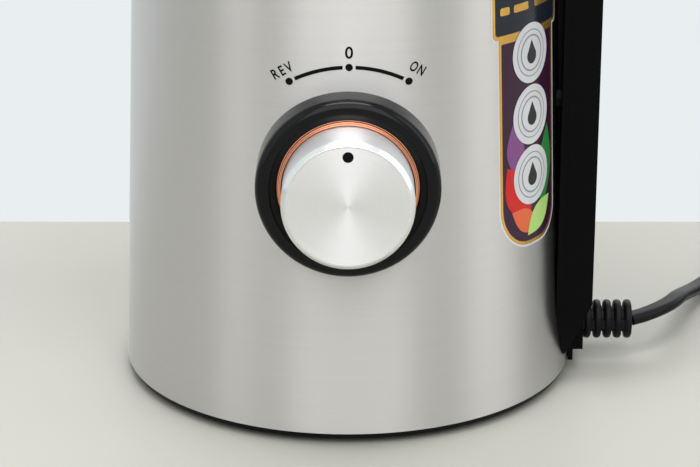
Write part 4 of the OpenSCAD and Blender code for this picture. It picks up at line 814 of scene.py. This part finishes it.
class JUICER_OT_knob(JuicerOperator, Operator):
    """Adds the knob's cap, its pointer, the copper coloured ring and the glossy bezel"""

    bl_idname = "juicer.knob"
    bl_label = "Knob and Bezel"

    def execute(self, context):
        self.add_cap(context.scene.juicer_knob.chamfer)
        self.add_rings()
        return {"FINISHED"}

    def add_cap(self, chamfer):
        """The side, chamfer and spun face of the cap, and the pointer dot on the face."""
        front, back = -CAP[0].y, -CAP[1].y
        wall = 1.6 * MM
        inside = front - wall
        cap_r = half_width(CAP)
        shoulder = front - 1.25 * chamfer
        seat = shoulder - 0.2 * MM
        side = [(cap_r - wall, back, 0.2 * MM), (cap_r, back, 0.3 * MM), (cap_r, shoulder, 0),
                (cap_r - wall, seat, 0)]
        add_turned("knob_side_ring", side, "knob_side", "knob", ("knob_cap",), 20)
        rim_r = cap_r - chamfer
        lip_r = rim_r - 0.5 * MM
        disc_r = rim_r - 0.45 * MM
        face = front - 0.02 * MM
        edge = [(cap_r - wall, seat, 0), (cap_r, shoulder, 0), (rim_r, front, 0.15 * MM), (lip_r, face, 0),
                (lip_r, inside, 0)]
        add_turned("knob_edge_ring", edge, "knob_edge", "knob", smooth=20)
        disc = [(0, inside, 0), (disc_r, inside, 0), (disc_r, face, 0), (0, face, 0)]
        add_turned("knob_face_disc", disc, "knob_face", "knob")
        dot_r = half_width(POINTER)
        dot_top = front + 0.08 * MM
        dot = [(0, inside, 0), (dot_r, inside, 0), (dot_r, dot_top, 0.06 * MM), (0, dot_top, 0)]
        add_turned("pointer_dot", dot, "printed_ink", "knob", ("knob_pointer",), steps=48,
                   rise=(POINTER[0].z + POINTER[1].z) / 2 - KNOB_Z)

    def add_rings(self):
        """The stepped copper coloured ring, and the dished bezel round it with its floor."""
        front = -BEZEL[0].y
        trim_r = half_width(TRIM)
        low, high = -TRIM[1].y, front - 1.5 * MM
        width = trim_r - half_width(CAP) - 0.35 * MM
        step, drop, soft = width / 3, 0.8 * MM, 0.12 * MM
        ring = [(trim_r - width, low, 0), (trim_r, low, 0)]
        for k in (0, 1):
            ring += [(trim_r - k * step, high - (2 - k) * drop, soft),
                     (trim_r - (k + 1) * step, high - (2 - k) * drop, soft)]
        ring += [(trim_r - 2 * step, high, soft), (trim_r - width, high, soft)]
        add_turned("trim_ring_stepped", ring, "trim_copper", "base", ("knob_trim_ring",), 25)
        bezel_r = half_width(BEZEL)
        back = front - 16 * MM
        well_r = trim_r + 0.2 * MM
        crest_r = bezel_r - 4.5 * MM
        bezel = [(well_r, back, 0), (bezel_r, back, 0), (bezel_r, front - 0.1 * MM, 3 * MM),
                 (crest_r, front, 0.2 * MM), (crest_r - 0.3 * MM, front - 0.6 * MM, 0.1 * MM),
                 (well_r, front - 1.6 * MM, 0.3 * MM)]
        add_turned("bezel_ring", bezel, "bezel_gloss", "base", ("knob_bezel",), 25,
                   arc_steps=8)
        under = low - 1.2 * MM
        floor = [(0, under, 0), (well_r, under, 0), (well_r, low, 0), (0, low, 0)]
        add_turned("bezel_floor", floor, "bezel_gloss", "base", steps=96)


# The thickness of the printed ink, and each mark's text, side, reach from the knob's axis, height, width
# against the font's own, and letter spacing
INK = 0.06 * MM
SCALE_WORDS = (("REV", -1, 41.7 * MM, 4.6 * MM, 0.76, 1.4), ("0", 0, 42.4 * MM, 5.4 * MM, 1, 1),
               ("ON", 1, 42.5 * MM, 4.6 * MM, 0.66, 1.25))


def lettering(text, height, spacing):
    """Raised letters as a bmesh, centred on their own middle and made a little bolder."""
    data = bpy.data.curves.new("lettering", "FONT")
    data.body = text
    data.align_x = "CENTER"
    data.align_y = "CENTER"
    data.size = height
    data.space_character = spacing
    data.offset = 0.018 * height
    data.extrude = INK / 2
    data.resolution_u = 6
    return moved(bmesh_of(add_object("lettering", data)), Matrix.Translation((0, 0, INK / 2)))


class JUICER_OT_scale(JuicerOperator, Operator):
    """Adds the printed scale above the knob"""

    bl_idname = "juicer.scale"
    bl_label = "Printed Scale"

    def execute(self, context):
        knob = context.scene.juicer_knob
        dot_r = 1.2 * MM
        gap = radians(3.1)
        word_turn = radians(31)
        steps = 24
        aside, above = 0.3 * MM, 0.1 * MM
        at_knob = Matrix.Translation((aside, KNOB_Z + above, 0))
        bm = bmesh.new()
        for turn in (-knob.scale_turn, 0, knob.scale_turn):
            place = Matrix.Rotation(-turn, 4, "Z") @ Matrix.Translation((0, knob.scale_radius, 0))
            join(bm, moved(plate(circle(dot_r, steps), 0, INK), at_knob, place))
        for side in (-1, 1):
            angles = [side * (gap + (knob.scale_turn - 2 * gap) * k / steps) for k in range(steps + 1)]
            outline = (arc(knob.scale_radius + knob.scale_line / 2, angles)
                       + arc(knob.scale_radius - knob.scale_line / 2, reversed(angles)))
            join(bm, moved(plate(outline, 0, INK), at_knob))
        for text, side, reach, height, wide, spacing in SCALE_WORDS:
            place = Matrix.Rotation(-side * word_turn, 4, "Z") @ Matrix.Translation((0, reach, 0))
            narrow = Matrix.Diagonal((wide, 1, 1, 1))
            join(bm, moved(lettering(text, height, spacing), at_knob, place, narrow))
        add_piece("scale_print", press_on_front(bm), "printed_ink", "base")
        return {"FINISHED"}


# The sticker's angle from the front, the thickness of each of its films, the step from one film to the next,
# and how far the first one stands out
LABEL_TURN = radians(52.7)
FILM_THICKNESS = 0.024 * MM
FILM_STEP = 0.027 * MM
FILM_TOP = 0.03 * MM

# Leaves of the sticker: name, colour, distance from its middle, height, length and width in millimetres,
# and turn in degrees
LEAVES = (("violet", (0.22, 0.07, 0.24), -8, 94, 20, 9, 8),
          ("red", (0.6, 0.015, 0.012), -6.5, 79, 24, 13, 30),
          ("orange", (0.75, 0.14, 0.05), -3, 69, 17, 8, 60),
          ("green", (0.03, 0.22, 0.05), 9, 85, 30, 9, -8),
          ("lime", (0.45, 0.7, 0.2), 5, 69, 18, 8.5, -52))

# Seals: their distance from the middle, their heights, and the radius and finish of each ring
SEAL_X = 0.8 * MM
SEAL_HEIGHTS = (84.3 * MM, 105.3 * MM, 126.4 * MM)
SEAL_RINGS = ((10.2 * MM, "silver"), (8 * MM, "grey"), (7.6 * MM, "silver"), (6.2 * MM, "grey"),
              (5.6 * MM, "silver"))

# Bars of the header: where each starts and ends, in millimetres from the middle
HEADER_BARS = ((-15, -10.5), (-8.5, -0.5), (3, 13.5))


def add_film(name, finish, points, order):
    """A printed film wrapped onto the sleeve. A film of a higher order lies over the lower ones."""
    top = FILM_TOP + FILM_STEP * order
    bm = wrap_round(plate(points, top - FILM_THICKNESS, top), LABEL_TURN)
    add_piece(name, bm, f"sticker_{finish}", "base")


class JUICER_OT_label(JuicerOperator, Operator):
    """Adds the sticker beside the spine"""

    bl_idname = "juicer.label"
    bl_label = "Sticker"

    def execute(self, context):
        label = context.scene.juicer_label
        half = label.width / 2
        head = half + 2.6 * MM
        add_film("sticker_border", "silver", self.outline(label, half, head, 0), 0)
        add_film("sticker_line", "gold", self.outline(label, half, head, 0.7 * MM), 1)
        inset = 1.9 * MM
        w, low, high = half - inset, label.foot + inset, label.header - 1 * MM
        field = [(-w, low, w * 0.94), (w, low, w * 0.66), (w, high, 0.5 * MM), (-w, high, 0.5 * MM)]
        add_film("sticker_field", "plum", filleted(field, 10), 2)
        h, low, high = head - inset, label.header + inset, label.top - inset
        header = [(-h, low, 1.2 * MM), (h, low, 1.2 * MM), (h, high, 1.5 * MM), (-h, high, 1.5 * MM)]
        add_film("sticker_header", "navy", filleted(header), 2)
        self.add_motifs(label.header + 8.5 * MM)
        return {"FINISHED"}

    def outline(self, label, half, head, inset):
        """The sticker's outline, a field with a rounded foot under a wider header, drawn in by an inset."""
        w, h = half - inset, head - inset
        foot_r = half * 0.96 - inset
        low, step, high = label.foot + inset, label.header + inset, label.top - inset
        return filleted([(-w, low, foot_r), (w, low, foot_r * 0.7), (w, step, 0), (h, step, 2 * MM),
                         (h, high, 3 * MM), (-h, high, 3 * MM), (-h, step, 2 * MM), (-w, step, 0)], 10)

    def add_motifs(self, bar_z):
        """Plain leaves in fruit colours, three silver seals and a row of bars in the header."""
        first_leaf = 3
        for k, (tint, _, *lengths, turn) in enumerate(LEAVES):
            shape = leaf(*(length * MM for length in lengths), radians(turn))
            add_film(f"sticker_leaf_{tint}", f"leaf_{tint}", shape, first_leaf + k)
        for k, z in enumerate(SEAL_HEIGHTS):
            self.add_seal(k, z, first_leaf + len(LEAVES))
        bar_h = 2.6 * MM
        soft = bar_h * 0.3
        for k, (start, end) in enumerate(HEADER_BARS):
            bar = filleted([(start * MM, bar_z, soft), (end * MM, bar_z, soft),
                            (end * MM, bar_z + bar_h, soft), (start * MM, bar_z + bar_h, soft)])
            add_film(f"sticker_bar_{k}", "gold", bar, first_leaf)

    def add_seal(self, k, z, order):
        """A plain silver disc with two fine rings and a dark drop."""
        for i, (radius, tint) in enumerate(SEAL_RINGS):
            disc = circle(radius, 48, SEAL_X, z)
            add_film(f"sticker_seal_{k}_{i}", tint, disc, order + i)
        drop_r = 2.7 * MM
        angles = [radians(a) for a in range(140, 401, 20)]
        drop = [(SEAL_X + drop_r * cos(a), z - 1 * MM + drop_r * sin(a)) for a in angles]
        add_film(f"sticker_drop_{k}", "black", [(SEAL_X, z + 4.5 * MM)] + drop, order + len(SEAL_RINGS))


class JUICER_OT_base(JuicerOperator, Operator):
    """Adds the tray, feet, spine, cord outlet, handle and deck"""

    bl_idname = "juicer.base"
    bl_label = "Base, Spine and Handle"

    def execute(self, context):
        edge = context.scene.juicer_body.edge
        for node, finish, width in (
                ("base_tray", "tray_black", edge), ("rubber_feet", "foot_rubber", edge),
                ("spine_frame", "satin_black", edge), ("spine_cover", "satin_black", edge),
                ("cord_outlet", "satin_black", edge / 2), ("top_deck", "deck_black", edge / 2),
                ("handle_grip", "soft_grip", 2.5 * MM)):
            dress_copy(node, finish, width)
        return {"FINISHED"}


class JUICER_OT_bowl_parts(JuicerOperator, Operator):
    """Adds the bowl, juice cap, lid, pusher, strainer frame and auger"""

    bl_idname = "juicer.bowl_parts"
    bl_label = "Bowl and Lid"

    def execute(self, context):
        for node, finish, width in (
                ("juicing_bowl", "clear_bowl", 0.3 * MM), ("juice_cap", "deck_black", 0.4 * MM),
                ("lid", "lid_gloss", 0.5 * MM), ("pusher", "lid_gloss", 0.8 * MM),
                ("strainer_frame", "auger_black", 0.2 * MM), ("auger", "auger_black", 0)):
            dress_copy(node, finish, width)
        return {"FINISHED"}


# Finishes of the CAD nodes that stay as they are
INNER_FINISHES = {
    "zinc": ("base_screws", "spine_screws", "motor_bolts", "switch_nut"),
    "dark_moulding": ("inner_casing", "knob_core", "switch_body", "wiper_frame"),
    "red_silicone": ("shaft_seal",),
    "silicone": ("bowl_seal", "lid_seal", "wiper_blades"),
    "ground_steel": ("switch_shaft", "rotor_shaft", "rotor_bearings", "gear_pins", "drive_shaft",
                     "output_bearing", "cap_hinge_pin"),
    "laminations": ("stator_core", "rotor_core"),
    "copper_wire": ("stator_windings", "commutator"),
    "cast_aluminium": ("motor_upper_bracket", "motor_lower_bracket"),
    "carbon": ("carbon_brushes",),
    "grey_moulding": ("gearbox_housing", "gearbox_cover", "cooling_fan"),
    "acetal": ("first_gear", "second_gear", "idler_gear"),
    "sintered": ("output_gear",),
    "board_green": ("control_board",),
    "wire_sheath": ("lead_wires",),
    "pin_nickel": ("plug_pins",),
    "strainer_screen": ("strainer_mesh",),
}


class JUICER_OT_inner(JuicerOperator, Operator):
    """Gives the CAD nodes that stay as they are their finishes"""

    bl_idname = "juicer.inner"
    bl_label = "Inner Pieces"

    def execute(self, context):
        for finish, nodes in INNER_FINISHES.items():
            for node in nodes:
                mesh = frame["nodes"][node].data
                mesh.materials.clear()
                mesh.materials.append(finish_of(finish))
        return {"FINISHED"}


# Lights: the setting that holds the power, the place, and the width and height, in metres. All face one point
LIGHTS = (("front", (0.05, -1.55, 1.4), (2.1, 1.8)), ("top", (0, -0.3, 1.9), (1.2, 0.6)),
          ("right", (1.4, -0.35, 0.75), (0.8, 1.4)), ("left", (-1.2, -0.75, 0.75), (0.5, 1.4)),
          ("back", (0, 1.3, 1), (1.8, 0.7)))
LIGHT_AIM = Vector((0, 0, 0.12))


class JUICER_OT_stage(JuicerOperator, Operator):
    """Adds the table, the wall colour behind it and the lights"""

    bl_idname = "juicer.stage"
    bl_label = "Studio"

    def execute(self, context):
        stage = context.scene.juicer_stage
        reach, thickness = 3, 30 * MM
        bm = plate([(-reach, -reach), (reach, -reach), (reach, stage.table_edge), (-reach, stage.table_edge)],
                   -thickness, 0)
        mesh = bpy.data.meshes.new("table")
        bm.to_mesh(mesh)
        bm.free()
        mesh.materials.append(start_material("table", stage.table, {"Roughness": 0.55})[0])
        table = add_object("table", mesh)
        self.add_world(context.scene, stage)
        for name, place, spread in LIGHTS:
            self.add_light(f"{name}_light", getattr(stage, name), place, spread)
        return {"FINISHED"}

    def add_world(self, scene, stage):
        """A light from all round, weaker from below. The camera, metal and glass see the wall instead."""
        world = bpy.data.worlds.new("studio")
        scene.world = world
        world.use_nodes = True
        tree = world.node_tree
        heading = tree.nodes.new("ShaderNodeTexCoord").outputs["Generated"]
        up = add_node(tree, "ShaderNodeSeparateXYZ", {0: heading}).outputs["Z"]
        strength = range_node(tree, up, 0, 0.6, 0.55 * stage.ambient, 1.4 * stage.ambient)
        even = tree.nodes["Background"]
        feed(tree, even, {"Color": (0.97, 0.99, 1, 1), "Strength": strength})
        wall = add_node(tree, "ShaderNodeBackground", {"Color": (*stage.wall, 1)})
        ray = tree.nodes.new("ShaderNodeLightPath").outputs
        shown = math_node(tree, "MAXIMUM", ray["Is Camera Ray"], ray["Is Glossy Ray"])
        shown = math_node(tree, "MAXIMUM", shown, ray["Is Transmission Ray"])
        seen = add_node(tree, "ShaderNodeMixShader", {0: shown, 1: even.outputs[0], 2: wall.outputs[0]})
        feed(tree, tree.nodes["World Output"], {"Surface": seen.outputs[0]})

    def add_light(self, name, watts, place, spread):
        """A large soft light that points at the juicer."""
        data = bpy.data.lights.new(name, "AREA")
        data.shape = "RECTANGLE"
        data.size, data.size_y = spread
        data.energy = watts
        light = add_object(name, data)
        light.location = place
        light.rotation_euler = (LIGHT_AIM - light.location).to_track_quat("-Z", "Y").to_euler()


class JUICER_PT_panel(Panel):
    """Lists the steps that build the juicer and its settings"""

    bl_label = "Cold Press Juicer"
    bl_idname = "JUICER_PT_panel"
    bl_space_type = "VIEW_3D"
    bl_region_type = "UI"
    bl_category = "Juicer"

    def draw(self, context):
        for operator in OPERATORS:
            self.layout.operator(operator.bl_idname)
        for settings in SETTINGS:
            box_layout = self.layout.box()
            group = getattr(context.scene, settings)
            for name in group.bl_rna.properties.keys():
                if name not in ("rna_type", "name"):
                    box_layout.prop(group, name)


SETTINGS = {"juicer_body": JuicerBody, "juicer_knob": JuicerKnob, "juicer_label": JuicerLabel,
            "juicer_cord": JuicerCord, "juicer_bowl": JuicerBowlParts, "juicer_stage": JuicerStage}
OPERATORS = (JUICER_OT_camera, JUICER_OT_cord, JUICER_OT_relief, JUICER_OT_sleeve, JUICER_OT_scale,
             JUICER_OT_label, JUICER_OT_knob, JUICER_OT_base, JUICER_OT_bowl_parts, JUICER_OT_inner,
             JUICER_OT_stage)


def register():
    for kind in (*SETTINGS.values(), *OPERATORS, JUICER_PT_panel):
        bpy.utils.register_class(kind)
    for name, kind in SETTINGS.items():
        setattr(bpy.types.Scene, name, PointerProperty(type=kind))


def unregister():
    for name in SETTINGS:
        delattr(bpy.types.Scene, name)
    for kind in reversed((*SETTINGS.values(), *OPERATORS, JUICER_PT_panel)):
        bpy.utils.unregister_class(kind)


def main():
    register()
    for operator in OPERATORS:
        family, action = operator.bl_idname.split(".")
        getattr(getattr(bpy.ops, family), action)()


if __name__ == "__main__":
    main()
